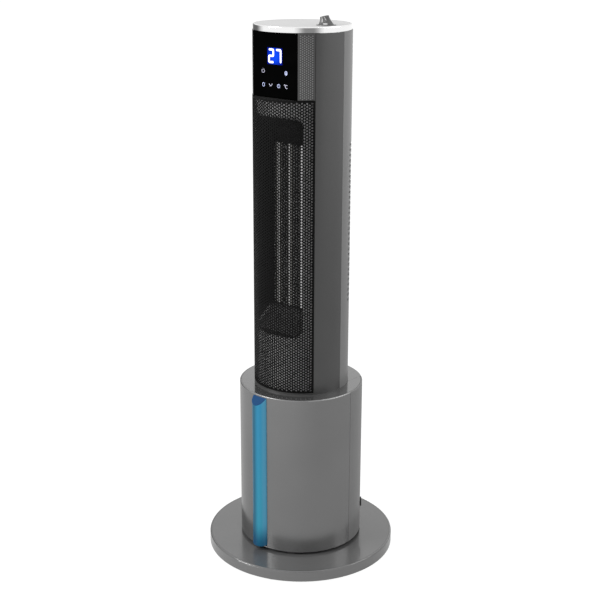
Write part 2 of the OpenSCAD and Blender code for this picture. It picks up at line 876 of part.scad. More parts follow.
// Mains board on the front of the tank bay
module power_board() {
  y = bay_front - seat - board_gap - board_t;
  color(c_board) {
    translate([power_board_x, y, power_board_z])
      cube([power_board_size[0], board_t, power_board_size[1]]);
    for (x = corner_shares, z = corner_shares)
      translate([power_board_x + power_board_size[0] * x, bay_front - seat,
                 power_board_z + power_board_size[1] * z])
      rotate([90, 0, 0]) cylinder(r = display_post_r, h = board_gap + board_t / 2);
    for (x = part_shares) translate([power_board_x + power_board_size[0] * x,
                                     y - 5 * board_gap, power_board_z + power_board_size[1] / 2])
      cube([power_board_size[0] / 5, 5 * board_gap + thin, power_board_size[1] / 4]);
    translate([power_board_x + power_board_size[0] / 4, y + thin,
               power_board_z + power_board_size[1] / 4])
      rotate([90, 0, 0]) cylinder(r = 2 * board_gap, h = 4 * board_gap);
  }
}

module tilt_switch() {
  color(c_black) translate([tilt_place[0], tilt_place[1], shelf_top]) cube(tilt_size);
}

// Grommet where the mains cord enters
module cord_inlet() {
  color(c_black) place(inlet_az, housing_in - inlet_depth, inlet_z) rotate([0, 90, 0]) difference() {
    union() {
      cylinder(r = inlet_r, h = inlet_depth + housing_wall + inlet_flange_t);
      translate([0, 0, inlet_depth + housing_wall + seat])
        cylinder(r = inlet_flange_r, h = inlet_flange_t - seat);
    }
    translate([0, 0, -cut])
      cylinder(r = inlet_bore_r, h = inlet_depth + housing_wall + inlet_flange_t + 2 * cut);
  }
}

module switch_case() {
  hx = rocker_half[0] + rocker_pocket_play;
  hz = rocker_half[1] + rocker_pocket_play;
  out = housing_r + seat;
  color(c_black) place(switch_az, 0, inlet_z) difference() {
    union() {
      translate([out - switch_depth, -hx - switch_wall, -hz - switch_wall])
        cube([switch_depth + thin, 2 * (hx + switch_wall), 2 * (hz + switch_wall)]);
      translate([out, -hx - switch_flange - switch_wall / 2, -hz - switch_flange - switch_wall / 2])
        cube([switch_flange_t, 2 * (hx + switch_flange) + switch_wall,
              2 * (hz + switch_flange) + switch_wall]);
    }
    translate([out - switch_depth + switch_wall, -hx, -hz])
      cube([switch_depth + switch_flange_t, 2 * hx, 2 * hz]);
    translate([out, 0, -hz - switch_wall + seat])
      cylinder(r = rocker_pin_r + run, h = 2 * (hz + switch_wall - seat));
  }
}

module power_rocker() {
  hx = rocker_half[0];
  out = housing_r + seat;
  color(c_dark) place(switch_az, out, inlet_z) {
    translate([0, 0, -rocker_half[1]]) linear_extrude(2 * rocker_half[1])
      polygon([[-rocker_sink, -hx], [-rocker_sink, hx], [switch_flange_t + rocker_high, hx],
               [switch_flange_t, 0], [switch_flange_t + rocker_low, -hx]]);
    translate([0, 0, -rocker_half[1] - rocker_pocket_play - switch_wall + 2 * seat])
      cylinder(r = rocker_pin_r,
               h = 2 * (rocker_half[1] + rocker_pocket_play + switch_wall - 2 * seat));
  }
}

// Removable water tank
module water_tank() {
  color([0.75, 0.85, 0.9]) difference() {
    union() {
      intersection() {
        translate([-tank_half, tank_front, tank_z])
          cube([2 * tank_half, housing_r, tank_top - tank_z]);
        cylinder(r = tank_rear_r, h = deck_top);
      }
      translate([cap_x, neck_end, valve_z]) rotate([-90, 0, 0])
        cylinder(r = neck_r, h = neck_reach + tank_wall / 2);
    }
    difference() {
      intersection() {
        translate([-tank_half + tank_wall, tank_front + tank_wall, tank_z + tank_wall])
          cube([2 * (tank_half - tank_wall), housing_r, tank_top - tank_z - 2 * tank_wall]);
        cylinder(r = tank_rear_r - tank_wall, h = deck_top);
      }
      grip_block(tank_wall + loose);
    }
    grip_block(loose);
    translate([cap_x, neck_end - cut, valve_z]) rotate([-90, 0, 0])
      cylinder(r = neck_bore_r, h = neck_reach + tank_wall + 2 * cut);
  }
}

// Outer block of the finger grip, grown by a clearance
module grip_block(grow) {
  translate([-grip_w / 2 - grip_wall - grow, housing_r - grip_depth - grip_wall - grow,
             grip_top - grip_h - grip_wall - grow])
    cube([grip_w + 2 * (grip_wall + grow), housing_r, grip_h + 2 * (grip_wall + grow)]);
}

// Door of the tank with its finger grip and its piece of the deck
module tank_door() {
  half = door_w / 2 - door_gap;
  color(c_grey) difference() {
    union() {
      intersection() {
        union() {
          translate([0, 0, door_z])
            rounded_wall(housing_r, housing_in, deck_top - door_z, housing_round,
                         housing_seam_az, 360 - housing_seam_az);
          translate([0, 0, deck_z])
            arc_wall(housing_r - housing_round, tower_r + 2 * seat, deck_t, 90, 270);
        }
        translate([-half, 0, 0]) cube([2 * half, housing_r + cut, cap_top]);
      }
      intersection() {
        grip_block(0);
        cylinder(r = housing_r - housing_wall / 2, h = deck_top);
      }
    }
    translate([-grip_w / 2, housing_r - grip_depth, grip_top - grip_h])
      cube([grip_w, housing_r, grip_h]);
  }
}

// Screw cap of the tank with the valve's guide
module tank_cap() {
  color(c_white) translate([cap_x, cap_face, valve_z]) rotate([-90, 0, 0]) {
    ring(tank_cap_r, neck_r + seat, cap_skirt);
    ring(neck_r + seat + thin, valve_hole_r, cap_plate);
    ring(valve_stem_r + run + valve_sleeve, valve_stem_r + run, cap_plate);
    for (k = [0:2]) rotate([0, 0, 120 * k])
      translate([valve_stem_r + run + valve_sleeve / 2, -valve_arm / 2, 0])
      cube([valve_hole_r - valve_stem_r - run, valve_arm, cap_plate]);
  }
}

module cap_seal() {
  color(c_black) translate([cap_x, cap_inner, valve_z]) rotate([-90, 0, 0])
    ring(neck_r - seat, valve_r + valve_t, seal_t);
}

module valve_plunger() {
  color(c_steel) translate([cap_x, 0, valve_z]) rotate([-90, 0, 0]) {
    translate([0, 0, valve_tip_y]) cylinder(r = valve_stem_r, h = valve_seat_y - valve_tip_y + thin);
    translate([0, 0, valve_seat_y]) cylinder(r = valve_r, h = valve_t);
  }
}

// Front shell of the tower with the opening for the grille and the display
module tower_front() {
  h = cap_z - cap_line - deck_top;
  color(c_grey) {
    difference() {
      translate([0, 0, deck_top])
        arc_wall(tower_r, tower_in, h, -tower_seam_az + seam_half_az, tower_seam_az - seam_half_az);
      translate([0, 0, grille_z])
        arc_wall(tower_r + cut, tower_in - cut, tower_h, -grille_az, grille_az);
    }
    for (a = [-grille_az, grille_az]) translate([0, 0, grille_z - thin])
      arc_wall(tower_r - lip_out, tower_r - lip_in, h - grille_sill, a - lip_az, a + lip_az);
    translate([0, 0, deck_top]) arc_wall(tower_in + thin, tower_in - ledge_w, ledge_t,
                                         -tower_seam_az + seam_half_az, tower_seam_az - seam_half_az);
  }
}

// Rear shell of the tower with intake slots, carrying grip and sensor vents
module tower_rear() {
  h = cap_z - cap_line - deck_top;
  color(c_rear) difference() {
    union() {
      translate([0, 0, deck_top]) arc_wall(tower_r, tower_in, h, tower_seam_az + seam_half_az,
                                           360 - tower_seam_az - seam_half_az);
      translate([0, 0, deck_top]) arc_wall(tower_in + thin, tower_in - ledge_w, ledge_t,
                                           tower_seam_az + seam_half_az,
                                           360 - tower_seam_az - seam_half_az);
      for (az = case_screw_az, z = case_screw_z)
        place(az, tower_in - case_screw_l + thin, z) rotate([0, 90, 0])
        cylinder(r = case_screw_r + case_boss_wall, h = case_screw_l + tower_wall / 2);
    }
    for (k = [0:slot_rows - 1], a = slot_az_shares)
      translate([0, 0, slot_z + k * slot_pitch])
      arc_wall(tower_r + cut, tower_in - cut, slot_h, 180 + a[0], 180 + a[1]);
    translate([-handle_w / 2, 0, handle_top - handle_h]) cube([handle_w, tower_r + cut, handle_h]);
    for (k = [0:vent_count - 1]) translate([0, 0, vent_z + k * vent_pitch])
      arc_wall(tower_r + cut, tower_in - cut, vent_h, vent_az - vent_half_az, vent_az + vent_half_az);
    for (az = case_screw_az, z = case_screw_z) {
      place(az, tower_in - case_screw_l - cut, z) rotate([0, 90, 0])
        cylinder(r = case_screw_r + 2 * run, h = case_screw_l + tower_wall + 2 * cut);
      place(az, tower_r - case_screw_head_h, z) rotate([0, 90, 0])
        cylinder(r = case_screw_head_r + seat, h = 3 * cut);
    }
  }
}

// Bright cap on the tower
module top_cap() {
  r = tower_r - cap_overlap;
  color(c_steel) difference() {
    union() {
      translate([0, 0, cap_z]) rotate_extrude() {
        square([r - cap_round, cap_band]);
        square([r, cap_band - cap_round]);
        translate([r - cap_round, cap_band - cap_round]) circle(cap_round);
      }
      translate([0, 0, cap_z - cap_plug])
        arc_wall(tower_in - seat, tower_in - seat - cap_skin, cap_plug + thin, grille_az + 3 * lip_az,
                 360 - grille_az - 3 * lip_az);
    }
    translate([0, 0, cap_z - cut])
      cylinder(r = tower_in - cap_skin - 2 * seat, h = cap_band - cap_skin + cut);
    place(nozzle_az, nozzle_offset, cap_z - cap_plug)
      cylinder(r = socket_r + seat, h = cap_band + cap_plug + cut);
  }
}

// Flat glossy front of the display
module display_panel() {
  z1 = cap_z - cap_line;
  color(c_black) difference() {
    translate([-display_half, display_y, display_z]) cube([2 * display_half, display_t, z1 - display_z]);
    translate([-window_half, display_y - cut, cap_z - window_drop - window_h])
      cube([2 * window_half, display_t + 2 * cut, window_h]);
  }
}

module display_window() {
  color(c_blue) translate([-window_half + run, display_y, cap_z - window_drop - window_h + run])
    cube([2 * (window_half - run), display_t - seat, window_h - 2 * run]);
}

// Dimpled fields on both sides of the display
module display_trims() {
  out = tower_r - trim_sink;
  color(c_grey) difference() {
    for (s = [0, 1]) mirror([s, 0, 0]) translate([0, 0, display_z])
      arc_wall(out, out - trim_t, cap_z - cap_line - display_z, display_az - trim_under_az,
               grille_edge);
    translate([-display_half - seat, -tower_r, display_z - cut])
      cube([2 * (display_half + seat), tower_r, display_h + 2 * cut]);
    for (s = [0, 1]) mirror([s, 0, 0]) translate([0, 0, display_z - cut])
      arc_wall(tower_r - lip_out + seat, tower_in - lip_in, display_h + 2 * cut,
               grille_az - lip_az - seat, grille_az + lip_az);
  }
}

module display_board() {
  y = display_y + display_t + display_post_l;
  z0 = display_z + display_board_edge;
  z1 = cap_z - display_board_edge;
  color(c_board) {
    translate([-display_board_half, y, z0]) cube([2 * display_board_half, board_t, z1 - z0]);
    for (x = post_side_shares, z = post_up_shares)
      translate([display_board_half * x, y + board_t / 2, z0 + (z1 - z0) * z]) rotate([90, 0, 0])
      cylinder(r = display_post_r, h = display_post_l + board_t / 2 - seat);
    translate([-window_half + lamp_inset, y - display_post_l + seat,
               cap_z - window_drop - window_h + lamp_inset])
      cube([2 * (window_half - lamp_inset), display_post_l, window_h - 2 * lamp_inset]);
  }
}

// One flat strip of the grille with its column of holes
module grille_strip(i) {
  rotate([0, 0, -grille_half + grille_step * (i + 0.5)])
    translate([0, -grille_mid * cos(grille_step / 2), 0]) rotate([90, 0, 0])
    linear_extrude(grille_t, center = true) difference() {
      translate([-grille_w / 2 - grille_lap, grille_z + seat + grille_border / 2])
        square([grille_w + 2 * grille_lap, grille_top - grille_z - seat - grille_border]);
      for (k = [0:grille_rows - 2])
        translate([0, grille_z + 1.5 * grille_border + grille_pitch * (k + 0.5 + (i % 2) * 0.5)])
        circle(d = hole_share * grille_w, $fn = 6);
    }
}

module front_grille() {
  color(c_black) {
    for (i = [0:grille_columns - 1]) grille_strip(i);
    for (z = [grille_z + seat, grille_top - grille_border]) translate([0, 0, z])
      arc_wall(grille_out + grille_rim, grille_mid - grille_t, grille_border, -grille_edge, grille_edge);
  }
}

// A thin rounded plate of the funnel, grown by a wall
module funnel_plate(y, half, low, high, f, grow) {
  upright(y, thin) round_rect(half + grow, low - grow, high + grow, f + grow, $fn = 32);
}

// Loft from the mouth at the grille to the throat at the core
module funnel_loft(grow) {
  hull() {
    funnel_plate(mouth_y, mouth_half, mouth_low, mouth_high, mouth_round, grow);
    funnel_plate(throat_y - thin, throat_half, core_z, core_top, throat_round, grow);
  }
}

// Dark duct that opens from the heating core to the grille
module outlet_funnel() {
  color(c_black) difference() {
    union() {
      translate([0, 0, grille_z + 2 * seat])
        arc_wall(flange_out, flange_out - flange_t, grille_top - ledge_t - grille_z - seat,
                 -grille_az + flange_side_az, grille_az - flange_side_az);
      intersection() {
        union() {
          funnel_loft(funnel_t);
          upright(-tower_r, tower_r + mouth_y + thin)
            round_rect(mouth_half + funnel_t, mouth_low - funnel_t, mouth_high + funnel_t,
                       mouth_round + funnel_t);
        }
        cylinder(r = flange_out - thin, h = cap_top);
      }
      intersection() {
        translate([0, 0, grille_top - ledge_t])
          arc_wall(grille_out - 2 * grille_t, display_t, ledge_t,
                   -grille_az + 2 * flange_side_az, grille_az - 2 * flange_side_az);
        translate([-tower_r, -tower_r, 0]) cube([tower_d, tower_r + display_y + 2 * display_t, cap_top]);
      }
    }
    funnel_loft(0);
    upright(-tower_r, tower_r + mouth_y + thin) round_rect(mouth_half, mouth_low, mouth_high, mouth_round);
    upright(throat_y - 3 * thin, 4 * thin) round_rect(throat_half, core_z, core_top, throat_round);
  }
}

module heater_frame() {
  w = frame_wall;
  color(c_dark) difference() {
    translate([-throat_half - w, frame_y, core_z - w]) cube([core_w + 2 * w, frame_d, core_h + 2 * w]);
    translate([-throat_half, frame_y - cut, core_z]) cube([core_w, frame_d + 2 * cut, core_h]);
  }
}

// Edges of the fin packs between the bars, as [left, right]
bar_x = [for (k = [0:bar_count - 1]) (k - (bar_count - 1) / 2) * bar_pitch];
pack_edges = concat([-throat_half + core_play],
                    [for (x = bar_x) each [x - bar_w / 2 - core_play, x + bar_w / 2 + core_play]],
                    [throat_half - core_play]);

// A folded strip between two edges, one fold for each pitch
module fin_pack(x0, x1) {
  n = floor((core_h - 2 * core_play) / fin_pitch);
  p = (core_h - 2 * core_play) / n;
  z0 = core_z + core_play;
  g = (x1 - x0) * fin_share;
  up = [for (k = [0:2 * n]) [k % 2 == 0 ? x0 : x1 - g, z0 + p * k / 2]];
  down = [for (k = [2 * n:-1:0]) [k % 2 == 0 ? x0 + g : x1, z0 + p * k / 2]];
  upright(core_y, core_t) polygon(concat(up, down));
}

module heater_fins() {
  color(c_steel) for (k = [0:bar_count]) fin_pack(pack_edges[2 * k], pack_edges[2 * k + 1]);
}

module ceramic_bars() {
  color(c_white) for (x = bar_x) translate([x - bar_w / 2, core_y, core_z + core_play])
    cube([bar_w, core_t, core_h - 2 * core_play]);
}

module thermal_cutout() {
  color(c_steel) translate([cutout_x, frame_y + frame_d / 2, core_top + frame_wall]) {
    cylinder(r = cutout_r, h = cutout_h);
    translate([-cutout_r / 2, -cutout_h / 16, 0]) cube([cutout_r, cutout_h / 8, cutout_h * 3 / 2]);
  }
}

// Casing that leads the air round the cross-flow wheel, with both end plates
module fan_scroll() {
  ri = wheel_r + scroll_gap;
  y0 = frame_back + seat;
  color(c_dark) {
    for (z = [scroll_low, scroll_high - scroll_plate]) translate([0, 0, z]) difference() {
      intersection() {
        cylinder(r = tower_in - seat, h = scroll_plate);
        translate([-tower_r, y0, -cut]) cube([tower_d, tower_d, scroll_plate + 2 * cut]);
      }
      place(nozzle_az, nozzle_offset, -cut) cylinder(r = duct_r + seat, h = scroll_plate + 2 * cut);
      translate([0, wheel_y, -cut]) cylinder(r = bush_r + run, h = scroll_plate + 2 * cut);
    }
    translate([0, 0, scroll_low + scroll_plate - thin])
      linear_extrude(scroll_high - scroll_low - 2 * scroll_plate + 2 * thin) {
      translate([-ri - scroll_t, y0]) square([scroll_t, wheel_y - y0]);
      intersection() {
        translate([0, wheel_y]) difference() {
          circle(ri + scroll_t);
          circle(ri);
        }
        translate([-tower_r, wheel_y]) square([tower_r * 7 / 8, tower_r]);
      }
      polygon([[ri, y0], [ri + scroll_t, y0], [wheel_r + scroll_t, wheel_y - wheel_r],
               [wheel_r - scroll_t, wheel_y - wheel_r + 2 * scroll_t],
               [wheel_r - scroll_t, wheel_y - wheel_r]]);
    }
  }
}

// A point of a curved blade, s from 0 at the inner edge to 1 at the outer edge
function blade_point(s, side) =
  let (r = wheel_in + (wheel_r - wheel_in) * s,
       a = blade_lean * s * (1 - s / 2) + side * blade_t / r * 90 / PI)
  [r * cos(a), r * sin(a)];

// Cross-flow wheel: blades between rings, with a stub shaft at each end
module fan_wheel() {
  n = blade_steps;
  color(c_black) translate([0, wheel_y, 0]) {
    for (k = [0:wheel_blades - 1]) rotate([0, 0, 360 * k / wheel_blades])
      translate([0, 0, wheel_z + thin]) linear_extrude(wheel_top - wheel_z - 2 * thin)
      polygon(concat([for (i = [0:n]) blade_point(blade_start_share + blade_span_share * i / n, -1)],
                     [for (i = [n:-1:0])
                        blade_point(blade_start_share + blade_span_share * i / n, 1)]));
    for (k = [1:wheel_bays - 1])
      translate([0, 0, wheel_z + (wheel_top - wheel_z - wheel_disc_t) * k / wheel_bays])
      ring(wheel_r, wheel_in, wheel_disc_t);
    for (z = [wheel_z, wheel_top - wheel_disc_t]) translate([0, 0, z])
      cylinder(r = wheel_r, h = wheel_disc_t);
    translate([0, 0, scroll_low - motor_shaft_l])
      cylinder(r = wheel_shaft_r, h = wheel_z - scroll_low + motor_shaft_l);
    translate([0, 0, wheel_top - thin])
      cylinder(r = wheel_shaft_r, h = scroll_high - wheel_top + bush_flange_t);
  }
}

module fan_motor() {
  z1 = scroll_low - seat;
  color(c_steel) translate([0, wheel_y, 0]) difference() {
    union() {
      translate([0, 0, z1 - motor_h]) cylinder(r = motor_r, h = motor_h);
      translate([0, 0, z1 - motor_flange_t]) cylinder(r = motor_flange_r, h = motor_flange_t);
    }
    translate([0, 0, scroll_low - motor_shaft_l - seat])
      cylinder(r = wheel_shaft_r + run, h = motor_h);
  }
}

module fan_bush() {
  color(c_brass) translate([0, wheel_y, scroll_high - scroll_plate]) difference() {
    union() {
      cylinder(r = bush_r, h = scroll_plate + thin);
      translate([0, 0, scroll_plate]) cylinder(r = bush_flange_r, h = bush_flange_t);
    }
    translate([0, 0, -cut])
      cylinder(r = wheel_shaft_r + run, h = scroll_plate + bush_flange_t + 2 * cut);
  }
}

module control_board() {
  w = control_board_size[0];
  h = control_board_size[1];
  color(c_board) translate([-w / 2, control_board_y, scroll_high + seat]) {
    cube([w, board_t, h]);
    for (x = chip_shares) translate([w * x, -5 * board_t, h / 2])
      cube([w / 5, 5 * board_t + thin, h / 3]);
    translate([w / 8, -4 * board_t, h / 8]) cube([w * 3 / 4, 4 * board_t + thin, h / 6]);
  }
}

// Pocket of the carrying grip
module carry_handle() {
  hw = handle_w / 2 - seat;
  z0 = handle_top - handle_h + seat;
  color(c_black) intersection() {
    difference() {
      translate([-hw, tower_r - handle_depth, z0]) cube([2 * hw, tower_r, handle_h - 2 * seat]);
      translate([-hw + handle_wall, tower_r - handle_depth + handle_wall, z0 + handle_wall])
        cube([2 * (hw - handle_wall), tower_r, handle_h - 2 * seat - 2 * handle_wall]);
    }
    cylinder(r = tower_r, h = cap_top);
  }
}

module room_sensor() {
  color(c_white) intersection() {
    place(vent_az, tower_in - sensor_size[0], vent_z) translate([0, -sensor_size[1] / 2, 0])
      cube([2 * sensor_size[0], sensor_size[1], sensor_size[2]]);
    cylinder(r = tower_in - seat, h = cap_top);
  }
}

// Fixed collar of the mist nozzle
module nozzle_socket() {
  color(c_steel) place(nozzle_az, nozzle_offset, cap_top) difference() {
    union() {
      translate([0, 0, -socket_depth]) cylinder(r = socket_r, h = socket_depth + socket_flange_t);
      cylinder(r = socket_flange_r, h = socket_flange_t);
    }
    translate([0, 0, -socket_depth - cut])
      cylinder(r = duct_r - duct_wall, h = socket_depth + 2 * cut);
    translate([0, 0, socket_flange_t + seat - stem_depth - seat])
      cylinder(r = stem_r + run, h = stem_depth + cut);
  }
}

// Turning nozzle: a leaning cone with mist slots on its low side
module mist_nozzle() {
  lean = at(nozzle_lean_az, nozzle_lean);
  c = at(nozzle_az, nozzle_offset);
  color(c_dark) translate([c[0], c[1], 0]) difference() {
    union() {
      translate([0, 0, nozzle_z - stem_depth + seat]) cylinder(r = stem_r, h = stem_depth);
      hull() {
        translate([0, 0, nozzle_z]) cylinder(r = nozzle_base_r, h = socket_flange_t, $fn = 32);
        translate([lean[0], lean[1], nozzle_top - socket_flange_t])
          cylinder(r = nozzle_top_r, h = socket_flange_t, $fn = 32);
      }
    }
    translate([0, 0, nozzle_z - stem_depth])
      cylinder(r = nozzle_bore_r, h = nozzle_top - nozzle_roof - nozzle_z + stem_depth);
    for (k = [0:nozzle_slot_count - 1])
      rotate([0, 0, nozzle_lean_az - 90 + (k - 1) * nozzle_slot_step])
      translate([0, -nozzle_slot_w / 2, nozzle_z + 2 * nozzle_roof])
      cube([2 * nozzle_base_r, nozzle_slot_w, nozzle_h]);
  }
}

module case_screws() {
  color(c_steel) for (az = case_screw_az, z = case_screw_z) {
    place(az, tower_in - case_screw_l, z) rotate([0, 90, 0])
      cylinder(r = case_screw_r, h = case_screw_l + tower_wall - case_screw_head_h);
    place(az, tower_r - case_screw_head_h, z) rotate([0, 90, 0])
      cylinder(r = case_screw_head_r, h = case_screw_head_h - run);
  }
}

base_disc();
base_plate();
base_weight();
rubber_feet();
base_screws();
pivot_hub();
hub_retainer();
swing_gear();
glide_pads();
housing_floor();
chassis_shelf();
front_housing();
rear_housing();
housing_deck();
light_column();
light_board();
swing_motor();
swing_pinion();
tank_bay();
mist_chamber();
mist_transducer();
level_float();
mist_blower();
blower_wheel();
mist_duct();
power_board();
tilt_switch();
cord_inlet();
switch_case();
power_rocker();
water_tank();
tank_door();
tank_cap();
cap_seal();
valve_plunger();
tower_front();
tower_rear();
top_cap();
display_panel();
display_window();
display_trims();
display_board();
front_grille();
outlet_funnel();
heater_frame();
heater_fins();
ceramic_bars();
thermal_cutout();
fan_scroll();
fan_wheel();
fan_motor();
fan_bush();
control_board();
carry_handle();
room_sensor();
nozzle_socket();
mist_nozzle();
case_screws();
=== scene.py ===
# %% [markdown]
# # A tower fan heater with a mist nozzle
#
# The real heater is a slim round tower on a wider round housing that turns on a flat foot. Its
# construction is already packed as a frame: every shell, board, wheel and screw is there at its real
# size, in metres, with +Z up. This lesson dresses that frame. It gives each part its finish, and it makes
# new surfaces where the eye wants finer shapes than the frame holds: the pierced grille, the dimpled
# fields, the digits, the fins and the nozzle.

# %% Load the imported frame
import json
import bpy
import numpy as np
from mathutils import Matrix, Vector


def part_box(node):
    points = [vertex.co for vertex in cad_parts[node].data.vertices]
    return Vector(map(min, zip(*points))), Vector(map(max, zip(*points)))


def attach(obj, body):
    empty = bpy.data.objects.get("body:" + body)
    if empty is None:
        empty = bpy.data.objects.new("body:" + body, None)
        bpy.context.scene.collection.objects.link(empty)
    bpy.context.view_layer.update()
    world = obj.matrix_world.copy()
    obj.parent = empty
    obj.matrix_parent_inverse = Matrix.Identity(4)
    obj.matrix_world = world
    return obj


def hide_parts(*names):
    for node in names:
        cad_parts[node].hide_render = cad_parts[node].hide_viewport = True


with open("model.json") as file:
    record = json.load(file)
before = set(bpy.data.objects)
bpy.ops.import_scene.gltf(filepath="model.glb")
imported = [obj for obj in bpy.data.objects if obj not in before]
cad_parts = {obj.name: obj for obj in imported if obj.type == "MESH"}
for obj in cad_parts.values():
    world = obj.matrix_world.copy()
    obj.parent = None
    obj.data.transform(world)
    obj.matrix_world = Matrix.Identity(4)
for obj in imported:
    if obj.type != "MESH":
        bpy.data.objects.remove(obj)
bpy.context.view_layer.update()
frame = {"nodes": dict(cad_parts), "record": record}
MM = 0.001
print("parts in the frame:", len(frame["nodes"]))

# %% [markdown]
# ## The camera
#
# The photograph was taken from the right of the front and a little above the top. Its place was worked
# out from the ellipses of the cap, the deck and the foot, so the camera can be set by numbers instead of
# by eye. The view is a rotation matrix whose columns say where right, up and backwards point.

# %% Place the camera
view_az, view_pitch, view_roll = np.radians(41.0), 0.30291, 0.003636
eye = np.array([1.2987, -1.4939, 1.0637])
level_right = np.array([np.cos(view_az), np.sin(view_az), 0.0])
level_ahead = np.array([-np.sin(view_az), np.cos(view_az), 0.0])
up = np.array([0.0, 0.0, 1.0])
ahead = level_ahead * np.cos(view_pitch) - up * np.sin(view_pitch)
down = -level_ahead * np.sin(view_pitch) - up * np.cos(view_pitch)
across = level_right * np.cos(view_roll) - down * np.sin(view_roll)
below = level_right * np.sin(view_roll) + down * np.cos(view_roll)
placing = np.eye(4)
placing[:3, :] = np.column_stack([across, -below, -ahead, eye])

camera = bpy.data.objects.new("camera", bpy.data.cameras.new("camera"))
camera.matrix_world = Matrix(placing.tolist())
camera.data.sensor_width = 36.0
camera.data.lens = 73.80
camera.data.shift_x = -0.00247
camera.data.clip_end = 200.0
bpy.context.scene.collection.objects.link(camera)
bpy.context.scene.camera = camera
bpy.context.scene.view_settings.view_transform = "Standard"
print("camera distance from the axis, m:", round(float(np.hypot(eye[0], eye[1])), 3))

# %% [markdown]
# ## Writing shaders as sums
#
# A finish is a small sum: a colour here, a little more grain there. Nodes can be joined by hand, but a
# sum reads better as a sum, so one class wraps a socket and turns plus, minus and times into Math nodes.
# Every other node comes from its one method, which takes the node's type, its settings and what goes into
# its sockets.

# %% A socket that can be used in sums
class Wire:
    """One socket of a node tree. Each sum, difference, product or power adds a Math node."""

    def __init__(self, tree, socket=None):
        self.tree, self.socket = tree, socket

    def node(self, kind, settings=None, inputs=None, out=0):
        """Adds a node: its settings first, then the values or links of its sockets. Gives its output."""
        made = self.tree.nodes.new(kind)
        for name, value in (settings or {}).items():
            setattr(made, name, value)
        for name, value in (inputs or {}).items():
            if isinstance(value, Wire):
                self.tree.links.new(value.socket, made.inputs[name])
            else:
                made.inputs[name].default_value = value
        return Wire(self.tree, made.outputs[out])

    def maths(self, operation, *others):
        """A Math node on this socket and the others."""
        return self.node("ShaderNodeMath", {"operation": operation}, dict(enumerate((self, *others))))

    def __add__(self, other):
        return self.maths("ADD", other)

    def __sub__(self, other):
        return self.maths("SUBTRACT", other)

    def __rsub__(self, other):
        return self * -1.0 + other

    def __mul__(self, other):
        return self.maths("MULTIPLY", other)

    def __pow__(self, other):
        return self.maths("POWER", other)

    __radd__ = __add__
    __rmul__ = __mul__


print("signs that add a Math node: + - * **")

# %% [markdown]
# ## Patterns that every finish shares
#
# All patterns read the part's own place in metres, so a grain keeps its real size on a big shell and on a
# small screw. A noise gives drift and grain, a step between two values gives a mask, and two colours are
# mixed by a mask.

# %% Small pattern helpers
def where(w):
    """The point on the surface, in metres from the part's own origin."""
    return w.node("ShaderNodeTexCoord", out="Object")


def axes(w, place):
    """The three lengths of a place."""
    parts = w.node("ShaderNodeSeparateXYZ", inputs={0: place}).socket.node
    return [Wire(w.tree, socket) for socket in parts.outputs]


def noise(w, place, scale, detail=2.0, stretch=None):
    """A soft random pattern with about `scale` bumps to the metre, squeezed along the axes by `stretch`."""
    if stretch:
        place = w.node("ShaderNodeMapping", {"vector_type": "POINT"}, {"Vector": place, "Scale": stretch})
    return w.node("ShaderNodeTexNoise", None, {"Vector": place, "Scale": scale, "Detail": detail})


def step(w, value, low, high):
    """0 below low, 1 above high and an S curve between them."""
    return w.node("ShaderNodeMapRange", {"interpolation_type": "SMOOTHSTEP"},
                  {"Value": value, "From Min": low, "From Max": high})


def mixed(w, mask, first, second):
    """The first colour where the mask is 0, the second where it is 1."""
    return w.node("ShaderNodeMix", {"data_type": "RGBA"}, {0: mask, 6: first, 7: second}, out=2)


def bumped(w, height, depth, strength=1.0):
    """A bent normal from a height pattern; depth is in metres."""
    return w.node("ShaderNodeBump", None, {"Strength": strength, "Distance": depth, "Height": height})


def grey(value, warm=0.0):
    """A neutral colour, slightly warm or cold."""
    return (value * (1 + warm), value, value * (1 - warm), 1.0)


# %% One way to make a finish
def finish(name, look=None, **fixed):
    """A Principled material. Fixed values go to the shader's own sockets; the look returns what varies."""
    made = bpy.data.materials.new(name)
    made.use_nodes = True
    shader = made.node_tree.nodes["Principled BSDF"]
    for socket, value in fixed.items():
        shader.inputs[socket.replace("_", " ")].default_value = value
    for socket, value in (look(Wire(made.node_tree)) if look else {}).items():
        made.node_tree.links.new(value.socket, shader.inputs[socket])
    return made


def grained(dark, light, rough, drift=7.0, grain=900.0, depth=0.00003, spread=0.08, flake=0.5):
    """A look for paint and moulded plastic: the colour drifts between two tones, and a fine grain varies
    the gloss and the height."""
    def look(w):
        place = where(w)
        slow, fine = noise(w, place, drift, 3.0), noise(w, place, grain, 1.0)
        tone = step(w, slow * (1 - flake) + fine * flake, 0.3, 0.7)
        return {"Base Color": mixed(w, tone, dark, light),
                "Roughness": slow * spread + fine * spread + (rough - spread),
                "Normal": bumped(w, fine, depth, 0.5)}
    return look


def brushed(dark, light, rough, stretch, scale=60.0, depth=0.000015):
    """A look for brushed metal: noise drawn out along the strokes varies tone, gloss and height."""
    def look(w):
        place = where(w)
        strokes = noise(w, place, scale, 3.0, stretch)
        patches = noise(w, place, 14.0)
        tone = step(w, strokes * 0.7 + patches * 0.3, 0.3, 0.7)
        return {"Base Color": mixed(w, tone, dark, light),
                "Roughness": strokes * 0.14 + (rough - 0.07),
                "Normal": bumped(w, strokes, depth, 0.6)}
    return look


# %% [markdown]
# ## Shells
#
# The front shells are sprayed with a grey metallic lacquer: tiny flakes under a thin satin coat. The
# tower's is dark, the housing's is lighter and more metallic, and the deck's is glossy enough to mirror
# the tower. The rear shells are moulded in a lighter grey and left as they come from the mould. One flat
# grey would look like card, so each finish drifts between two close greys and has a grain as fine as its
# flakes. The flakes are what brightens where the studio's pale walls are mirrored, so the metallic share
# sets how much a shell changes from side to side.

